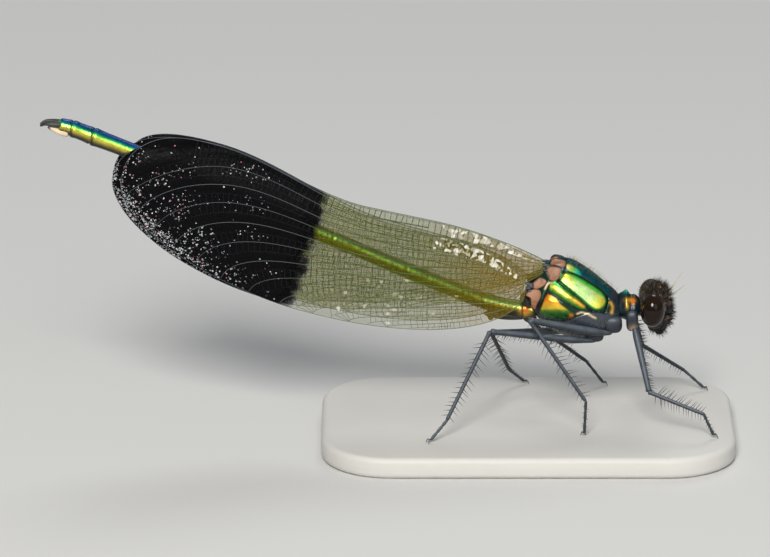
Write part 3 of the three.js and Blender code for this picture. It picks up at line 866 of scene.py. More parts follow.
# %% Wing sockets
SOCKETS = [
    ((11.62, 0.60, 13.20), (0.22, 0.18, 0.18)), ((11.42, 0.52, 13.34), (0.24, 0.12, 0.09)),
    ((11.40, 0.68, 13.02), (0.22, 0.16, 0.09)), ((11.52, 0.80, 12.86), (0.15, 0.15, 0.13)),
    ((11.64, 0.95, 12.62), (0.13, 0.16, 0.16)), ((10.34, 1.12, 11.98), (0.22, 0.20, 0.20)),
    ((10.14, 1.10, 12.12), (0.24, 0.12, 0.09)), ((10.14, 1.16, 11.82), (0.22, 0.16, 0.09)),
    ((10.26, 1.20, 11.60), (0.16, 0.16, 0.14)), ((10.34, 1.22, 11.34), (0.14, 0.16, 0.16)),
]
for label, side in SIDES.items():
    knobs = [lobe(f"socket_{label}_{number}", (x, side * y, z), radii, 20, 14, 2.4)
             for number, ((x, y, z), radii) in enumerate(SOCKETS)]
    sockets = joined(f"wing_sockets_{label}", knobs)
    paint(sockets, (0.075, 0.078, 0.085), 0.4)
    finish_piece(sockets, dark_horn, "thorax")

# %% [markdown]
# ## Prothorax and neck
# The first ring of the thorax is a small collar with its own coloured bosses, and the neck
# is a short soft tube behind the head.

# %% Prothorax and neck
COLLAR_STATIONS = np.array([
    (16.55, 10.9, 9.2, 0.80), (17.0, 11.15, 9.15, 0.92), (17.3, 11.3, 9.05, 1.02),
    (17.6, 10.95, 9.1, 0.98), (17.9, 10.95, 9.2, 0.98), (18.2, 10.7, 9.4, 0.86), (18.42, 10.35, 9.7, 0.6),
])
collar_lines = curve_through(COLLAR_STATIONS, 100)
COLLAR_COLOUR = (0.007, 0.022, 0.028)
COLLAR_SPOTS = [
    ((17.22, 10.72), (0.26, 0.22), (0.010, 0.36, 0.27)),
    ((17.55, 10.00), (0.34, 0.17), (0.92, 0.50, 0.03)),
    ((17.76, 9.92), (0.14, 0.18), (0.85, 0.16, 0.02)),
    ((17.34, 9.56), (0.13, 0.20), (0.70, 0.42, 0.05)),
]


def collar_place(share, angle):
    x, top, bottom, half = read_line(collar_lines, share)
    close = round_ends(share, 0.07)
    y = np.cos(angle) * half * close * mix(1, 0.75, np.clip(np.sin(angle), 0, 1))
    return np.stack([x, y, (top + bottom) / 2 + np.sin(angle) * (top - bottom) / 2 * close], axis=1)


def lay_spots(colour, marks, spots):
    """Soft oval spots on a colour, each given by its centre, size and tint."""
    for centre, size, tint in spots:
        offset = (marks - np.array(centre)) / np.array(size)
        colour = lay(colour, tint, bump_at(np.linalg.norm(offset, axis=1), 1.0))
    return colour


def collar_colour(points, normals):
    return lay_spots(np.tile(COLLAR_COLOUR, (len(points), 1)), seen(points), COLLAR_SPOTS)


collar = drawn_ball("prothorax_shell", 80, 64, collar_place)
paint(collar, collar_colour, 0.5)
finish_piece(collar, metal_horn, "thorax", "prothorax")

neck = limb("neck_skin", [(18.0, 0, 9.95), (18.45, 0, 9.98), (18.9, 0, 10.1)],
            lambda share: 0.62 * round_ends(share, 0.1), 28, 24)
paint(neck, (0.018, 0.019, 0.022), 0.1)
finish_piece(neck, dark_horn, "head", "neck")

# %% [markdown]
# ## Head and eyes
# The head is a wide bar between the eyes, with a domed brow and three small simple eyes on
# top, and below them the face plates, the lip and the jaws. It is built of grown-together
# lobes. The compound eyes are glossy ovals with a fine net of facets.

# %% The head
HEAD_LOBES = [
    ((19.38, 0, 10.38), (0.90, 1.78, 1.10), 2.3),
    ((19.48, 0, 11.02), (0.74, 1.25, 0.60), 2.2),
    ((20.05, 0, 10.45), (0.48, 0.95, 0.50), 2.4),
    ((20.22, 0, 9.95), (0.46, 0.92, 0.34), 2.6),
    ((20.24, 0, 9.46), (0.42, 0.80, 0.32), 2.4),
    ((20.14, 0, 9.02), (0.42, 0.66, 0.30), 2.3),
    ((19.85, 0.62, 8.95), (0.46, 0.36, 0.50), 2.2),
    ((19.85, -0.62, 8.95), (0.46, 0.36, 0.50), 2.2),
    ((19.45, 0, 8.62), (0.62, 0.72, 0.46), 2.2),
    ((19.7, 0.28, 8.32), (0.34, 0.24, 0.34), 2.0),
    ((19.7, -0.28, 8.32), (0.34, 0.24, 0.34), 2.0),
    ((19.35, 1.0, 9.3), (0.62, 0.55, 0.62), 2.2),
    ((19.35, -1.0, 9.3), (0.62, 0.55, 0.62), 2.2),
    ((18.92, 0, 10.15), (0.40, 1.45, 0.95), 2.3),
]
FACE_MARKS = [
    ((20.05, 9.42), (0.07, 0.34), (0.42, 0.36, 0.28)),
    ((20.30, 9.72), (0.22, 0.22), (0.16, 0.075, 0.050)),
    ((20.14, 8.66), (0.20, 0.14), (0.50, 0.32, 0.20)),
    ((20.02, 10.35), (0.26, 0.16), (0.13, 0.12, 0.11)),
]


def head_colour(points, normals):
    colour = blend((0.010, 0.011, 0.012), (0.050, 0.030, 0.020), smooth((points[:, 2] - 10.2) / 0.9))
    return lay_spots(colour, seen(points), FACE_MARKS)


head = joined("head_shell", [lobe(f"head_{number}", centre, radii, 44, 30, power)
                             for number, (centre, radii, power) in enumerate(HEAD_LOBES)])
paint(head, head_colour, 0.15)
finish_piece(head, dark_horn, "head", "head")

SIMPLE_EYES = [(20.06, 0, 11.36), (19.68, 0.42, 11.56), (19.68, -0.42, 11.56)]
simple_eyes = joined("simple_eyes", [lobe(f"simple_eye_{number}", centre, (0.15, 0.15, 0.15), 20, 14)
                                     for number, centre in enumerate(SIMPLE_EYES)])
paint(simple_eyes, (0.42, 0.20, 0.05))
finish_piece(simple_eyes, dark_horn, "eyes")

# %% The compound eyes
EYE_CENTRE = (19.14, 1.72, 10.3)
EYE_RADII = (0.90, 1.0, 1.24)
FACET_SCALE = 26000.0
FACET_DEPTH = 0.01
EYE_COLOURS = [
    (-1.0, (0.07, 0.08, 0.010)), (-0.86, (0.020, 0.015, 0.003)), (-0.6, (0.009, 0.0032, 0.0010)),
    (0.1, (0.007, 0.0024, 0.0008)), (0.7, (0.015, 0.007, 0.003)), (1.0, (0.012, 0.006, 0.003)),
]
EYE_RIM = (0.040, 0.032, 0.006)


def eye_material():
    material, tree, shader = new_material("eye")
    colour = add_node(tree, "ShaderNodeAttribute", attribute_name="paint")
    tree.links.new(colour.outputs["Color"], shader.inputs["Base Color"])
    place = add_node(tree, "ShaderNodeTexCoord")
    facets = add_node(tree, "ShaderNodeTexVoronoi", feature="F1")
    facets.inputs["Scale"].default_value = FACET_SCALE
    bump = add_node(tree, "ShaderNodeBump", invert=True)
    bump.inputs["Strength"].default_value = 0.06
    bump.inputs["Distance"].default_value = FACET_DEPTH * MM
    tree.links.new(place.outputs["Object"], facets.inputs["Vector"])
    tree.links.new(facets.outputs["Distance"], bump.inputs["Height"])
    tree.links.new(bump.outputs["Normal"], shader.inputs["Normal"])
    shader.inputs["Roughness"].default_value = 0.12
    shader.inputs["Specular IOR Level"].default_value = 0.28
    return material


def eye_colour(points, normals):
    lift = (points[:, 2] - EYE_CENTRE[2]) / EYE_RADII[2]
    edge = 1 - np.abs(normals[:, 1])
    rim = smooth((edge - 0.72) / 0.28) * 0.5 * (normals[:, 2] < 0.3)
    return lay(ramp(EYE_COLOURS, lift), EYE_RIM, rim)


glossy_eye = eye_material()
for label, side in SIDES.items():
    ball = lobe(f"eye_ball_{label}", (EYE_CENTRE[0], side * EYE_CENTRE[1], EYE_CENTRE[2]), EYE_RADII, 72, 48)
    paint(ball, eye_colour)
    finish_piece(ball, glossy_eye, "eyes", f"eye_{label}")

# %% [markdown]
# ## Antennae and claspers
# A demoiselle's feelers are two stout joints and a thin bristle. At the tip of the abdomen
# a male has a pair of curved claspers above and a shorter, paler pair below.

# %% Antennae and claspers
def antenna_radius(share):
    joints = 0.05 * bump_at(share - 0.08, 0.08) + 0.03 * bump_at(share - 0.30, 0.10)
    return (joints + 0.030 * (1 - share) + 0.013) * round_ends(share, 0.02)


# Dark horn at the root; the pale outer part of the feeler is a painted highlight.
def antenna_colour_with_painted_highlight(points, normals):
    return blend((0.12, 0.10, 0.06), (0.42, 0.39, 0.26), smooth((points[:, 0] - 20.3) / 0.4))


def upper_clasper_radius(share):
    return mix(0.24, 0.10, smooth(share * 1.1)) * round_ends(share, 0.1)


def lower_clasper_radius(share):
    return mix(0.34, 0.11, share) * round_ends(share, 0.14)


for label, side in SIDES.items():
    points = [(20.22, side * 0.68, 10.86), (20.6, side * 0.88, 11.18), (20.95, side * 1.15, 11.6),
              (21.45, side * 1.55, 12.2)]
    antenna = limb(f"feeler_{label}", points, antenna_radius, 16, 60)
    paint(antenna, antenna_colour_with_painted_highlight)
    finish_piece(antenna, dark_horn, "head", f"antenna_{label}")

    points = [(-23.5, side * 0.28, 23.86), (-24.15, side * 0.40, 23.94), (-24.65, side * 0.38, 23.96),
              (-25.05, side * 0.20, 23.78)]
    upper = limb(f"clasper_upper_{label}", points, upper_clasper_radius, 24, 44)
    paint(upper, (0.040, 0.046, 0.040), 0.3)
    finish_piece(upper, dark_horn, "claspers", f"cercus_{label}")

    points = [(-22.95, side * 0.24, 23.24), (-23.7, side * 0.30, 23.40), (-24.5, side * 0.28, 23.72)]
    lower = limb(f"clasper_lower_{label}", points, lower_clasper_radius, 20, 30)
    paint(lower, lambda points, normals: blend((0.70, 0.57, 0.38), (0.05, 0.045, 0.035),
                                               smooth((-24.15 - points[:, 0]) / 0.3)))
    finish_piece(lower, dark_horn, "claspers", f"paraproct_{label}")

# %% [markdown]
# ## Spikes
# Bristles and hairs are thin spikes, hundreds of them, so each is only seven points in one
# shared mesh. Each has its own tiny patch of the unwrap, at its root's place.

# %% A helper for spikes
SPIKE_FACES = [(0, 1, 4, 3), (1, 2, 5, 4), (2, 0, 3, 5), (3, 4, 6), (4, 5, 6), (5, 3, 6), (2, 1, 0)]
SPIKE_POINTS = 7
SPIKE_WAIST = 0.62
PATCH = 0.003


def spikes(name, roots, tips, radius, places, lift=0.04):
    """Thin spikes in one mesh: three sides, lifted a little at half way, a closed root."""
    roots, tips = np.array(roots, float), np.array(tips, float)
    length = np.linalg.norm(tips - roots, axis=1)[:, None]
    axis = unit(tips - roots)
    across = unit(np.cross(axis, (0.3, 0.5, 0.81)))
    up = np.cross(axis, across)
    middle = roots + (tips - roots) * 0.5 + np.array((0, 0, 1.0)) * lift * length
    points = np.empty((len(roots), SPIKE_POINTS, 3))
    for corner in range(3):
        turn = corner * 2 * math.pi / 3
        offset = (across * math.cos(turn) + up * math.sin(turn)) * radius
        points[:, corner] = roots + offset
        points[:, 3 + corner] = middle + offset * SPIKE_WAIST
    points[:, -1] = tips
    faces = [tuple(SPIKE_POINTS * number + corner for corner in face)
             for number in range(len(roots)) for face in SPIKE_FACES]
    mesh = bpy.data.meshes.new(name)
    mesh.from_pydata((points.reshape(-1, 3) * MM).tolist(), [], faces)
    piece = bpy.data.objects.new(name, mesh)
    bpy.context.collection.objects.link(piece)
    unwrap = mesh.uv_layers.new(name="OFBake")
    corners = read_values(mesh.loops, "vertex_index", 1, int)
    within = corners % SPIKE_POINTS
    offset = np.stack([within % 3, within // 3], axis=1) / 3 * PATCH
    unwrap.data.foreach_set("uv", (np.array(places)[corners // SPIKE_POINTS] + offset).ravel())
    turn_faces_out(piece)
    return piece


# %% [markdown]
# ## Legs
# Each leg has a stout hip, a thigh, a thin shin and a foot of three joints with two claws.
# Two rows of long bristles on every shin and thigh make the basket that catches prey, and
# a few short ones stand on the foot. Limbs are drawn-out balls, as the abdomen is.

# %% Leg measures
TOE_Z = PLATE_TOP + 0.14
LEGS = {
    # hip, start of the thigh, knee, ankle and toe
    "fore_right": [(17.5, -0.75, 9.35), (17.85, -1.15, 8.8), (18.89, -3.6, 4.68),
                   (22.8, -4.9, 3.45), (23.6, -4.8, TOE_Z)],
    "mid_right": [(16.1, -0.9, 8.8), (15.6, -1.5, 8.5), (10.19, -3.3, 10.05),
                  (14.28, -4.7, 4.35), (14.2, -4.4, TOE_Z)],
    "hind_right": [(15.0, -0.9, 8.1), (14.3, -1.5, 7.92), (7.36, -3.1, 9.13),
                   (4.23, -5.2, 3.05), (3.0, -5.8, TOE_Z)],
    "fore_left": [(17.5, 0.75, 9.35), (17.85, 1.15, 8.8), (18.6, 5.0, 5.45),
                  (21.82, 5.9, 3.14), (23.4, 5.9, TOE_Z)],
    "mid_left": [(16.1, 0.9, 8.7), (15.7, 1.5, 8.35), (10.44, 4.0, 7.5),
                 (14.64, 6.9, 3.51), (16.0, 7.0, TOE_Z)],
    "hind_left": [(15.0, 0.9, 8.0), (14.6, 1.5, 7.75), (7.54, 3.3, 6.93),
                  (8.95, 6.9, 2.85), (10.2, 7.4, TOE_Z)],
}
THIGH_WIDTH = {"fore": 0.25, "mid": 0.29, "hind": 0.26}
HIPS = {
    "fore": ((17.7, 0.92, 9.25), (0.44, 0.44, 0.78)),
    "mid": ((16.3, 0.95, 9.0), (0.68, 0.55, 0.64)),
    "hind": ((14.95, 0.95, 8.2), (0.70, 0.58, 0.50)),
}
HIP_POWER = 2.9
HIP_SPOT = (17.82, 8.72)
CLAW_CLEARANCE = 0.03
SLATE = np.array((0.058, 0.072, 0.090))


# Painted light and shade: slate horn, lighter on the upper side and darker below.
def leg_colour_with_painted_light(points, normals):
    return blend(SLATE * 0.45, SLATE * 1.5, smooth((normals[:, 2] + 0.3) / 1.2))


# Painted light and shade on the hip, lighter on top, with a cream spot of its own colour.
def hip_colour_with_painted_light(points, normals):
    colour = blend((0.030, 0.036, 0.046), (0.085, 0.100, 0.120), smooth((normals[:, 2] + 0.2) / 1.0))
    cream = bump_at(np.hypot(points[:, 0] - HIP_SPOT[0], points[:, 2] - HIP_SPOT[1]), 0.30)
    return lay(colour, (0.50, 0.36, 0.24), cream)


def shin_radius(share):
    return (mix(0.155, 0.13, share) + 0.05 * bump_at(share, 0.04)) * round_ends(share, 0.015)


def foot_radius(share):
    beads = 0.03 * np.abs(np.sin(share * math.pi * 3))
    return (0.085 + beads) * round_ends(share, 0.04)


def claw_radius(share):
    return mix(0.055, 0.014, share) * round_ends(share, 0.08)


# %% The bristles of a leg
BRISTLE_SEED = 7
BRISTLE_RADIUS = 0.034
BRISTLE_CLEARANCE = 0.05
BRISTLE_ROWS = [
    # from joint, to joint, joint they lean to, number in a row, length, turn round the leg
    (1, 2, 3, 20, 0.98, -38),
    (1, 2, 3, 20, 0.98, 28),
    (2, 3, 1, 16, 1.10, 25),
    (2, 3, 1, 16, 1.10, 158),
    (3, 4, 2, 6, 0.32, -40),
    (3, 4, 2, 6, 0.32, 150),
]


def leg_bristles(name, joints, draw):
    """Rows of bristles that lean along the leg. The draw moves on from leg to leg."""
    roots, tips, places = [], [], []
    for row, (first, last, inner_joint, count, long, turn) in enumerate(BRISTLE_ROWS):
        start, end = joints[first], joints[last]
        along = unit(end - start)
        inner = joints[inner_joint] - start
        inner = unit(inner - along * np.dot(inner, along))
        across = np.cross(along, inner)
        for number in range(count):
            share = mix(0.10, 0.97, (number + draw.uniform(0.2, 0.8)) / count)
            length = long * mix(1.05, 0.72, share) * draw.uniform(0.85, 1.1)
            angle = math.radians(turn + draw.uniform(-12, 12))
            out = inner * math.cos(angle) + across * math.sin(angle)
            root = start + (end - start) * share
            tip = root + (along * draw.uniform(0.30, 0.50) + out * 0.9) * length
            tip[2] = max(tip[2], PLATE_TOP + BRISTLE_CLEARANCE)
            roots.append(root)
            tips.append(tip)
            places.append((share, (row + 0.5) / len(BRISTLE_ROWS)))
    return spikes(name, roots, tips, BRISTLE_RADIUS, places, 0.0)


# %% The joints of a leg
def make_thigh(name, points, wide):
    def radius(share):
        root = mix(0.17, wide * 1.05, smooth((share - 0.1) / 0.18))
        taper = mix(1.0, 0.74, smooth((share - 0.3) / 0.7))
        return (root * taper + 0.04 * bump_at(share - 0.975, 0.02)) * round_ends(share, 0.02)
    return limb(f"thigh_{name}", points, radius, 24, 80)


def make_hip(name, pair, side):
    centre, radii = HIPS[pair]
    return lobe(f"hip_{name}", (centre[0], side * centre[1], centre[2]), radii, 36, 26, HIP_POWER)


def make_shin(name, knee, ankle):
    along = unit(ankle - knee)
    return limb(f"shin_{name}", [knee - along * 0.1, ankle + along * 0.04], shin_radius, 16, 50)


def make_foot(name, ankle, toe):
    """The three beads of a foot and its two claws, in one mesh."""
    along = unit(toe - ankle)
    end = toe - along * 0.15
    level = unit(along * (1, 1, 0))
    sideways = np.array((-level[1], level[0], 0.0))
    parts = [limb(f"foot_joints_{name}", [ankle - along * 0.12, end], foot_radius, 16, 48)]
    for turn in (-1, 1):
        bend = end + level * 0.2 + sideways * turn * 0.12 + np.array((0, 0, 0.03))
        tip = end + level * 0.3 + sideways * turn * 0.2
        tip[2] = PLATE_TOP + CLAW_CLEARANCE
        parts.append(limb(f"claw_{name}_{turn}", [end, bend, tip], claw_radius, 10, 16))
    return joined(f"foot_{name}", parts)


# %% The six legs
draw = random.Random(BRISTLE_SEED)
for name, places in LEGS.items():
    pair, label = name.split("_")
    joints = [np.array(place) for place in places]
    hip, thigh, knee, ankle, toe = joints

    upper = make_thigh(name, [hip, thigh, knee], THIGH_WIDTH[pair])
    paint(upper, leg_colour_with_painted_light, 0.1)
    finish_piece(upper, leg_horn, "legs", f"leg_{name}_femur")

    knob = make_hip(name, pair, SIDES[label])
    paint(knob, hip_colour_with_painted_light, 0.5)
    finish_piece(knob, leg_horn, "legs")

    lower = make_shin(name, knee, ankle)
    paint(lower, leg_colour_with_painted_light, 0.1)
    finish_piece(lower, leg_horn, "legs", f"leg_{name}_tibia")

    foot = make_foot(name, ankle, toe)
    paint(foot, leg_colour_with_painted_light, 0.1)
    finish_piece(foot, leg_horn, "legs", f"leg_{name}_tarsus")

    bristles = leg_bristles(f"bristles_{name}", joints, draw)
    paint(bristles, (0.014, 0.015, 0.018))
    finish_piece(bristles, dark_horn, "legs")

# %% [markdown]
# ## Wings
# A wing is a clear sheet on a net of veins. The long veins fan out from the root, run
# beside the front margin and bend down to the back margin, the lowest ones first. The
# same few curves that shape the solid wing place every vein and every point of the sheet.
# Two wings of a side lie almost together, as a resting demoiselle holds them.

# %% Wing shape
WINGS = {
    "fore": {
        "root": (11.6, 13.22), "tip": (-19.85, 20.12),
        "root_side": 0.48, "upper_side": 0.11, "lower_side": 0.80,
        "low": 1.42, "high": 3.72, "rise": 0.28, "power": 2.1, "from": 0.42, "to": 0.8, "round": 2.3,
        "deep": 6.72, "at": 0.56, "base_power": 1.5, "tip_power": 1.75,
    },
    "hind": {
        "root": (10.3, 11.9), "tip": (-19.2, 20.24),
        "root_side": 1.12, "upper_side": 0.26, "lower_side": 1.08,
        "low": 1.60, "high": 3.90, "rise": 0.22, "power": 2.7, "from": 0.36, "to": 0.8, "round": 2.7,
        "deep": 6.28, "at": 0.5, "base_power": 2.1, "tip_power": 1.85,
    },
}
WING_START = 0.006
VEIN_ROWS = 24
PLEAT = 0.045


def quarter(share, power):
    return (1 - np.clip(share, 0, 1) ** power) ** (1 / power)


def front_margin(wing, u):
    base = 1 - (1 - np.minimum(1.0, u / wing["rise"])) ** wing["power"]
    swell = smooth((u - wing["from"]) / (wing["to"] - wing["from"]))
    height = wing["low"] * base + (wing["high"] - wing["low"]) * swell
    return height * quarter((u - wing["to"]) / (1 - wing["to"]), wing["round"])


def back_margin(wing, u):
    before = quarter((wing["at"] - u) / wing["at"], wing["base_power"])
    after = quarter((u - wing["at"]) / (1 - wing["at"]), wing["tip_power"])
    return -wing["deep"] * np.where(u < wing["at"], before, after)


def wing_points(wing, side, fan, share):
    """Points of a wing: fan goes from the back margin to the front, share from root to margin."""
    fan, share = np.broadcast_arrays(np.asarray(fan, float), np.asarray(share, float))
    along = 1 - (1 - share) ** 1.5
    reach = mix(0.2, 1, 1 - (1 - fan) ** 1.45)
    u = mix(WING_START, mix(WING_START, 1, reach), along)
    drop = np.where(fan >= 1, 1.0, np.clip(1 - along ** (2.6 + 8 * fan ** 3), 0, 1) ** 0.55)
    height = mix(back_margin(wing, u), front_margin(wing, u), fan * drop)
    root = np.array(wing["root"])
    axis = np.array(wing["tip"]) - root
    length = np.linalg.norm(axis)
    axis /= length
    x = root[0] + axis[0] * u * length + axis[1] * height
    z = root[1] + axis[1] * u * length - axis[0] * height
    abdomen_height = np.interp(-x, -joint_points[:, 0], joint_points[:, 2])
    lowered = smooth((3.4 - (z - abdomen_height)) / 2.8)
    aside = mix(wing["upper_side"], wing["lower_side"], lowered)
    aside = mix(aside, wing["root_side"], smooth(1 - (u - WING_START) / 0.14))
    pleat = PLEAT * np.cos(fan * VEIN_ROWS / 4 * 2 * math.pi) * smooth(share / 0.25) * (1 - 0.6 * share)
    return np.stack([x, side * (aside + pleat), z], axis=-1)


# %% [markdown]
# ## Wing colours
# The inner half of the wing is clear olive with an amber root, and the outer half is
# black. The border is soft and ragged, as it follows the cells. Sheet and veins share it,
# so it is a node group that puts out two masks.

# %% Wing border group
BORDER_X = -5.75
BORDER_SLANT = 0.30
BORDER_MIDDLE_Z = 15.5
BORDER_WIDTH = 1.1
ROOT_RANGE_X = (1.0, 11.5)
RAGGED = 2.2


def make_border_group():
    group = bpy.data.node_groups.new("wing border", "ShaderNodeTree")
    for label in ("Dark", "Root"):
        group.interface.new_socket(label, in_out="OUTPUT", socket_type="NodeSocketFloat")
    outputs = group.nodes.new("NodeGroupOutput")
    place = group.nodes.new("ShaderNodeTexCoord")
    parts = group.nodes.new("ShaderNodeSeparateXYZ")
    group.links.new(place.outputs["Object"], parts.inputs["Vector"])
    ragged = add_node(group, "ShaderNodeTexNoise")
    ragged.inputs["Scale"].default_value = 1500.0
    ragged.inputs["Detail"].default_value = 2.0
    group.links.new(place.outputs["Object"], ragged.inputs["Vector"])
    wander = add_node(group, "ShaderNodeMath", operation="MULTIPLY_ADD")
    wander.inputs[1].default_value = RAGGED * MM
    group.links.new(ragged.outputs["Fac"], wander.inputs[0])
    group.links.new(parts.outputs["X"], wander.inputs[2])
    slant = add_node(group, "ShaderNodeMath", operation="MULTIPLY_ADD")
    slant.inputs[1].default_value = -BORDER_SLANT
    group.links.new(parts.outputs["Z"], slant.inputs[0])
    group.links.new(wander.outputs["Value"], slant.inputs[2])
    edge = BORDER_X + RAGGED / 2 - BORDER_SLANT * BORDER_MIDDLE_Z
    for result, low, high, value in (
            ("Dark", edge + BORDER_WIDTH, edge - BORDER_WIDTH, slant.outputs["Value"]),
            ("Root", *ROOT_RANGE_X, parts.outputs["X"])):
        step = add_node(group, "ShaderNodeMapRange", interpolation_type="SMOOTHSTEP")
        step.inputs["From Min"].default_value = low * MM
        step.inputs["From Max"].default_value = high * MM
        group.links.new(value, step.inputs["Value"])
        group.links.new(step.outputs["Result"], outputs.inputs[result])
    return group


border_group = make_border_group()


def calculate(tree, operation, *values):
    """One step of arithmetic on outputs and plain numbers."""
    node = add_node(tree, "ShaderNodeMath", operation=operation)
    for socket, value in zip(node.inputs, values):
        if isinstance(value, (int, float)):
            socket.default_value = value
        else:
            tree.links.new(value, socket)
    return node.outputs["Value"]


# %% [markdown]
# ## The wing sheet
# The sheet is crinkled between its veins, and here and there a cell catches the light. So
# it is cut into small cells, and a few of them carry painted glints: larger pale ones in
# the clear part, and tiny grey, white or pink specks on the black, painted into the colour
# and made nearly opaque. The sheet says how often, place by place.

# %% Wing sheet material
SPECK_SCALE = 12000.0
CRINKLE_SCALE = 4200.0
CRINKLE_DEPTH = 0.06
PINK_GLINT_FROM = 0.94
CLEAR_OLIVE = (0.17, 0.18, 0.002)
ROOT_AMBER = (0.30, 0.18, 0.001)
WING_BLACK = (0.0030, 0.0028, 0.0034)
# Painted glints: pale tints for the clear part, and grey, white or pink specks on the black.
CRINKLE_GLINT_TINTS = ((0.50, 0.46, 0.30), (1.0, 0.98, 0.92))
SPECK_GLINT_TINTS = ((0.05, 0.06, 0.07), (0.62, 0.64, 0.64))
PINK_GLINT = (0.42, 0.14, 0.20)


def lit_cells(tree, label, scale):
    """Small cells for painted glints, as often as the sheet's attribute says."""
    place = add_node(tree, "ShaderNodeTexCoord")
    cells = add_node(tree, "ShaderNodeTexVoronoi", feature="F1")
    cells.inputs["Scale"].default_value = scale
    tree.links.new(place.outputs["Object"], cells.inputs["Vector"])
    chance = add_node(tree, "ShaderNodeSeparateColor")
    tree.links.new(cells.outputs["Color"], chance.inputs["Color"])
    zone = add_node(tree, "ShaderNodeAttribute", attribute_name=label)
    total = calculate(tree, "ADD", chance.outputs["Red"], zone.outputs["Fac"])
    return calculate(tree, "GREATER_THAN", total, 1.0), chance, cells


def sheet_material():
    """Clear olive, amber or black film with cells of painted glints, each as thick as it looks."""
    material, tree, shader = new_material("wing sheet")
    border = add_node(tree, "ShaderNodeGroup", node_tree=border_group)
    dark, root = border.outputs["Dark"], border.outputs["Root"]
    speck_glint, speck_chance, _ = lit_cells(tree, "speck_glint", SPECK_SCALE)
    crinkle_glint, crinkle_chance, cells = lit_cells(tree, "crinkle_glint", CRINKLE_SCALE)
    clear = mixed_colour(tree, root, CLEAR_OLIVE, ROOT_AMBER)
    blackened = calculate(tree, "MINIMUM", calculate(tree, "MULTIPLY", dark, 3.0), 1.0)
    colour = mixed_colour(tree, blackened, clear, WING_BLACK)
    crinkle_glint_tint = mixed_colour(tree, crinkle_chance.outputs["Green"], *CRINKLE_GLINT_TINTS)
    colour = mixed_colour(tree, crinkle_glint, colour, crinkle_glint_tint)
    pink_glint = calculate(tree, "GREATER_THAN", speck_chance.outputs["Blue"], PINK_GLINT_FROM)
    speck_glint_tint = mixed_colour(tree, speck_chance.outputs["Green"], *SPECK_GLINT_TINTS)
    speck_glint_tint = mixed_colour(tree, pink_glint, speck_glint_tint, PINK_GLINT)
    tree.links.new(mixed_colour(tree, speck_glint, colour, speck_glint_tint), shader.inputs["Base Color"])
    film = calculate(tree, "MULTIPLY_ADD", root, 0.12, 0.15)
    for mask, thickness in ((dark, 0.985), (speck_glint, 0.8), (crinkle_glint, 0.7)):
        film = calculate(tree, "MAXIMUM", film, calculate(tree, "MULTIPLY", mask, thickness))
    tree.links.new(film, shader.inputs["Alpha"])
    height = calculate(tree, "MULTIPLY", cells.outputs["Distance"], crinkle_chance.outputs["Blue"])
    bump = add_node(tree, "ShaderNodeBump")
    bump.inputs["Strength"].default_value = 0.8
    bump.inputs["Distance"].default_value = CRINKLE_DEPTH * MM
    tree.links.new(height, bump.inputs["Height"])
    tree.links.new(bump.outputs["Normal"], shader.inputs["Normal"])
    shader.inputs["Roughness"].default_value = 0.45
    shader.inputs["Specular IOR Level"].default_value = 0.05
    return material


def vein_material(name, clear, root_tint, dark_tint):
    material, tree, shader = new_material(name)
    border = add_node(tree, "ShaderNodeGroup", node_tree=border_group)
    light = mixed_colour(tree, border.outputs["Root"], clear, root_tint)
    tree.links.new(mixed_colour(tree, border.outputs["Dark"], light, dark_tint), shader.inputs["Base Color"])
    shader.inputs["Roughness"].default_value = 0.4
    shader.inputs["Specular IOR Level"].default_value = 0.3
    return material


# %% Wing sheet
SHEET_COLUMNS = 170
SHEET_ROWS = 96
SHEET_THICKNESS = 0.016


def speck_glint_zone(fan, share, points):
    """How often the sheet shows tiny painted glints: most along the outer rim of the black."""
    x = points[:, 0]
    outer = smooth((-7 - x) / 3)
    streaks = (0.5 + 0.5 * np.sin(fan * 43)) * (0.5 + 0.5 * np.sin(share * 29 + fan * 11))
    rim = smooth((share - 0.945) / 0.04) * smooth((-9 - x) / 6) * mix(0.08, 0.34, smooth((fan - 0.4) / 0.35))
    near_rim = 0.05 * smooth((share - 0.80) / 0.12) * smooth((-9 - x) / 4)
    return np.maximum(rim, outer * 0.060 * streaks + near_rim)


def crinkle_glint_zone(fan, share, points):
    """How often the clear part shows a painted glint: the front strip and the back of the wing."""
    strip = smooth((fan - 0.84) / 0.03) * smooth((0.19 - share) / 0.05) * smooth((share - 0.015) / 0.02)
    lower = smooth((0.5 - fan) / 0.2) * smooth((points[:, 0] + 5) / 2) * smooth((share - 0.3) / 0.2)
    return 0.42 * strip + 0.035 * lower


ZONES = {"speck_glint": speck_glint_zone, "crinkle_glint": crinkle_glint_zone}


def make_sheet(name, wing, side):
    clear_selection()
    bpy.ops.mesh.primitive_grid_add(x_subdivisions=SHEET_COLUMNS, y_subdivisions=SHEET_ROWS, size=2 * MM)
    sheet = bpy.context.object
    sheet.name = name
    points = read_points(sheet)
    share, fan = (points[:, 0] + 1) / 2, (points[:, 1] + 1) / 2
    placed = wing_points(wing, side, np.clip(fan, 0, 1), np.clip(share, 0, 1))
    move_points(sheet, placed)
    for label, zone in ZONES.items():
        sheet.data.attributes.new(label, "FLOAT", "POINT")
        amounts = zone(fan, share, placed).astype(np.float32)
        sheet.data.attributes[label].data.foreach_set("value", amounts)
    thicken = sheet.modifiers.new("thicken", "SOLIDIFY")
    thicken.thickness = SHEET_THICKNESS * MM
    thicken.offset = 0.0
    bpy.ops.object.modifier_apply(modifier="thicken")
    turn_faces_out(sheet)
    return sheet


# %% [markdown]
# ## Veins
# The main veins start at the root, and finer ones between them start further out, so the
# net stays even as the wing widens. Cross veins join each vein to the nearest point of
# the next one. All are thin tubes: curves with a round section, turned into meshes.

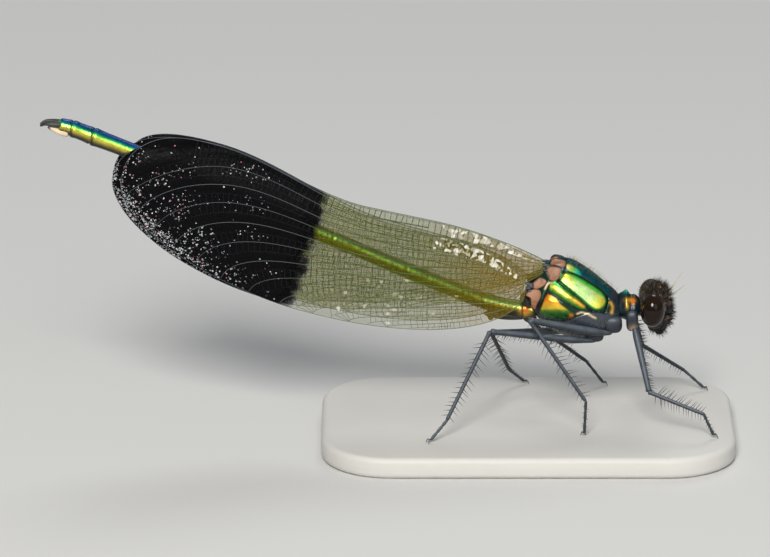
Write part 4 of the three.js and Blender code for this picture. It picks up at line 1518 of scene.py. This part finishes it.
# %% Veins
VEIN_START = (0.0, 0.20, 0.46)
VEIN_SIZE = (0.025, 0.021, 0.013)
VEIN_TAPER = (1.1, 0.75)
FRONT_SIZE = 0.025
MARGIN_SIZE = 0.018
MARGIN_POINTS = 200
CROSS_SIZE = 0.013
CROSS_STEP = (0.36, 0.48)
CROSS_LENGTHS = (0.06, 1.5)
LINE_POINTS = 180


def vein_level(row):
    """How early a long vein starts: main veins at the root, finer ones further out."""
    if row % 4 == 0:
        return 0
    return 1 if row % 2 == 0 else 2


def add_strand(curve, points, sizes):
    strand = curve.splines.new("POLY")
    strand.points.add(len(points) - 1)
    places = np.hstack([np.asarray(points) * MM, np.ones((len(points), 1))])
    strand.points.foreach_set("co", places.ravel())
    strand.points.foreach_set("radius", np.asarray(sizes, dtype=float))


def tubes(name, strands, sides):
    """Strands of (points, sizes) as round tubes in one mesh."""
    curve = bpy.data.curves.new(name, "CURVE")
    curve.dimensions = "3D"
    curve.bevel_depth = MM
    curve.bevel_resolution = sides
    curve.use_fill_caps = True
    for points, sizes in strands:
        add_strand(curve, points, sizes)
    net = bpy.data.objects.new(name, curve)
    bpy.context.collection.objects.link(net)
    clear_selection()
    bpy.context.view_layer.objects.active = net
    net.select_set(True)
    bpy.ops.object.convert(target="MESH")
    net = bpy.context.object
    turn_faces_out(net)
    return net


def cross_strands(source, target, draw):
    """Short strands from one vein to the nearest points of the next."""
    strands = []
    reach = reach_along(source)
    distance = 0.0
    while distance < reach[-1]:
        point = point_along(source, reach, distance)
        gaps = np.linalg.norm(target - point, axis=1)
        nearest = int(np.argmin(gaps))
        if 0 < nearest < len(target) - 1 and CROSS_LENGTHS[0] < gaps[nearest] < CROSS_LENGTHS[1]:
            strands.append(([point, target[nearest]], [CROSS_SIZE, CROSS_SIZE]))
        distance += draw.uniform(*CROSS_STEP)
    return strands


def vein_strands(wing, side, draw):
    """The long strands and the fine ones of a wing."""
    main, fine, lines, shares = [], [], {}, {}
    for row in range(VEIN_ROWS + 1):
        level = vein_level(row)
        shares[row] = np.linspace(VEIN_START[level], 1, LINE_POINTS)
        lines[row] = wing_points(wing, side, row / VEIN_ROWS, shares[row])
        size = FRONT_SIZE if row == VEIN_ROWS else VEIN_SIZE[level]
        sizes = size * np.linspace(*VEIN_TAPER, LINE_POINTS)
        (fine if level == 2 else main).append((lines[row][::2], sizes[::2]))
    margin = wing_points(wing, side, np.linspace(0, 1, MARGIN_POINTS), 1.0)
    main.append((margin, np.full(len(margin), MARGIN_SIZE)))
    for step, stop in ((1, 1.0), (2, VEIN_START[2]), (4, VEIN_START[1])):
        for row in range(0, VEIN_ROWS, step):
            source, target = sorted((row, row + step), key=vein_level, reverse=True)
            fine += cross_strands(lines[source][shares[source] <= stop], lines[target], draw)
    return main, fine


# %% [markdown]
# ## The four wings
# Each wing is a sheet, its main veins and its fine net. The draw starts again from one
# seed for every wing, so the net of a left wing mirrors that of the right one.

# %% The four wings
NET_SEED = 21
wing_sheet = sheet_material()
main_veins = vein_material("main veins", (0.085, 0.13, 0.06), (0.12, 0.16, 0.06), (0.085, 0.100, 0.115))
fine_veins = vein_material("fine veins", (0.020, 0.022, 0.008), (0.028, 0.020, 0.006), (0.010, 0.011, 0.015))
for kind, wing in WINGS.items():
    for label, side in SIDES.items():
        draw = random.Random(NET_SEED)
        sheet = make_sheet(f"wing_sheet_{kind}_{label}", wing, side)
        finish_piece(sheet, wing_sheet, "wings", f"wing_{kind}_{label}")
        main, fine = vein_strands(wing, side, draw)
        finish_piece(tubes(f"wing_veins_{kind}_{label}", main, 1), main_veins, "wings")
        finish_piece(tubes(f"wing_net_{kind}_{label}", fine, 0), fine_veins, "wings")

# %% [markdown]
# ## Hair
# The head bristles with stiff black hair, and the back and breast of the thorax carry fine
# pale hair. Each hair is a thin spike rooted in the shell, drawn from a seed so that it is
# always the same.

# %% A helper for hair
HAIR_SPREAD = 0.28
HAIR_LENGTHS = (0.55, 1.2)
ROOT_DEPTH = 0.02


def hair_on(name, shell, count, keep, length, radius, lean, seed):
    """Hairs on the faces that keep(points, normals) chooses, standing out and leaning."""
    draw = np.random.default_rng(seed)
    mesh = shell.data
    centres = read_values(mesh.polygons, "center", 3) / MM
    normals = read_values(mesh.polygons, "normal", 3)
    unwrap = read_values(mesh.uv_layers[0].data, "uv", 2)
    starts = read_values(mesh.polygons, "loop_start", 1, int)
    weights = read_values(mesh.polygons, "area") * keep(centres, normals)
    chosen = draw.choice(len(weights), count, p=weights / weights.sum())
    direction = unit(normals[chosen] + np.array(lean) + draw.normal(0, HAIR_SPREAD, (count, 3)))
    sizes = length * draw.uniform(*HAIR_LENGTHS, (count, 1))
    roots = centres[chosen] - normals[chosen] * ROOT_DEPTH
    return spikes(name, roots, roots + direction * sizes, radius, unwrap[starts[chosen]])


def near_middle(points, width):
    return np.abs(points[:, 1]) < width


def on_face(points, normals):
    return (normals[:, 0] > -0.5) & near_middle(points, 1.35)


def on_brow(points, normals):
    return (normals[:, 2] > 0.1) & (points[:, 2] > 10.7) & near_middle(points, 1.1)


def on_crown(points, normals):
    return (normals[:, 2] > 0.2) & (points[:, 2] > 10.8)


def on_back(points, normals):
    return (normals[:, 2] > 0.6) & (points[:, 0] > 12.7) & near_middle(points, 0.6)


def on_breast(points, normals):
    return (normals[:, 2] < -0.1) & (points[:, 0] > 11.0)


# %% The five coats of hair
HAIR_COATS = [
    # name, shell, slot, where it grows, how many, length, thickness, lean, seed, colour
    ("head_hair", head, "head", on_face, 2600, 0.46, 0.018, (0.15, 0, 0), 3, (0.010, 0.009, 0.008)),
    ("crown_hair", head, "head", on_brow, 700, 0.62, 0.017, (0, 0, 0.5), 8, (0.030, 0.019, 0.012)),
    ("pale_head_hair", head, "head", on_crown, 200, 0.62, 0.009, (0.1, 0, 0.2), 5, (0.26, 0.22, 0.13)),
    ("back_hair", thorax, "thorax", on_back, 420, 0.50, 0.0055, (0.15, 0, 0.5), 4, (0.40, 0.38, 0.22)),
    ("breast_hair", thorax, "thorax", on_breast, 500, 0.30, 0.007, (0, 0, -0.2), 6, (0.30, 0.29, 0.24)),
]
for name, shell, slot, keep, count, length, radius, lean, seed, colour in HAIR_COATS:
    hairs = hair_on(name, shell, count, keep, length, radius, lean, seed)
    paint(hairs, colour)
    finish_piece(hairs, dark_horn, slot)

# %% [markdown]
# ## Floor and light
# The part is shown on a plain pale floor in a soft studio: a strong key light from the
# camera's side and above, where the sun stands in the picture, weaker wide lights, and a
# dim room, so that the metal keeps its contrast.

# %% Floor and light
FLOOR_SIZE = 6
FLOOR_GAP = 0.02

clear_selection()
bpy.ops.mesh.primitive_plane_add(size=FLOOR_SIZE, location=(0, 0, -FLOOR_GAP * MM))
floor = bpy.context.object
floor.name = "floor"
floor_paint, _, floor_shader = new_material("floor")
floor_shader.inputs["Base Color"].default_value = (0.66, 0.66, 0.65, 1)
floor_shader.inputs["Roughness"].default_value = 0.9
floor.data.materials.append(floor_paint)


LIGHTS = [
    # name, turn round the insect, height in degrees, distance, size, power, tint
    ("key", -6, 38, 0.6, 0.22, 3.5, (1.0, 0.97, 0.92)),
    ("front fill", 35, 22, 0.9, 0.5, 0.7, (0.94, 0.97, 1.0)),
    ("back rim", 165, 50, 0.9, 0.4, 1.8, (0.95, 0.98, 1.0)),
]
ROOM_COLOUR = (0.86, 0.90, 0.95, 1)
ROOM_STRENGTH = 0.22


def add_light(name, azimuth, elevation, distance, size, power, tint):
    """An area light that looks at the insect from an angle round and above it."""
    data = bpy.data.lights.new(name, "AREA")
    data.shape = "DISK"
    data.size = size
    data.energy = power
    data.color = tint
    light = bpy.data.objects.new(name, data)
    bpy.context.collection.objects.link(light)
    turn, lift = math.radians(azimuth), math.radians(elevation)
    direction = Vector((math.sin(turn) * math.cos(lift), -math.cos(turn) * math.cos(lift), math.sin(lift)))
    light.location = AIM + direction * distance
    light.rotation_euler = direction.to_track_quat("Z", "Y").to_euler()


for light in LIGHTS:
    add_light(*light)
world = bpy.data.worlds.new("room")
bpy.context.scene.world = world
world.use_nodes = True
room = world.node_tree.nodes["Background"]
room.inputs["Color"].default_value = ROOM_COLOUR
room.inputs["Strength"].default_value = ROOM_STRENGTH
bpy.context.scene.view_settings.view_transform = "Standard"
print("lights:", len(LIGHTS))
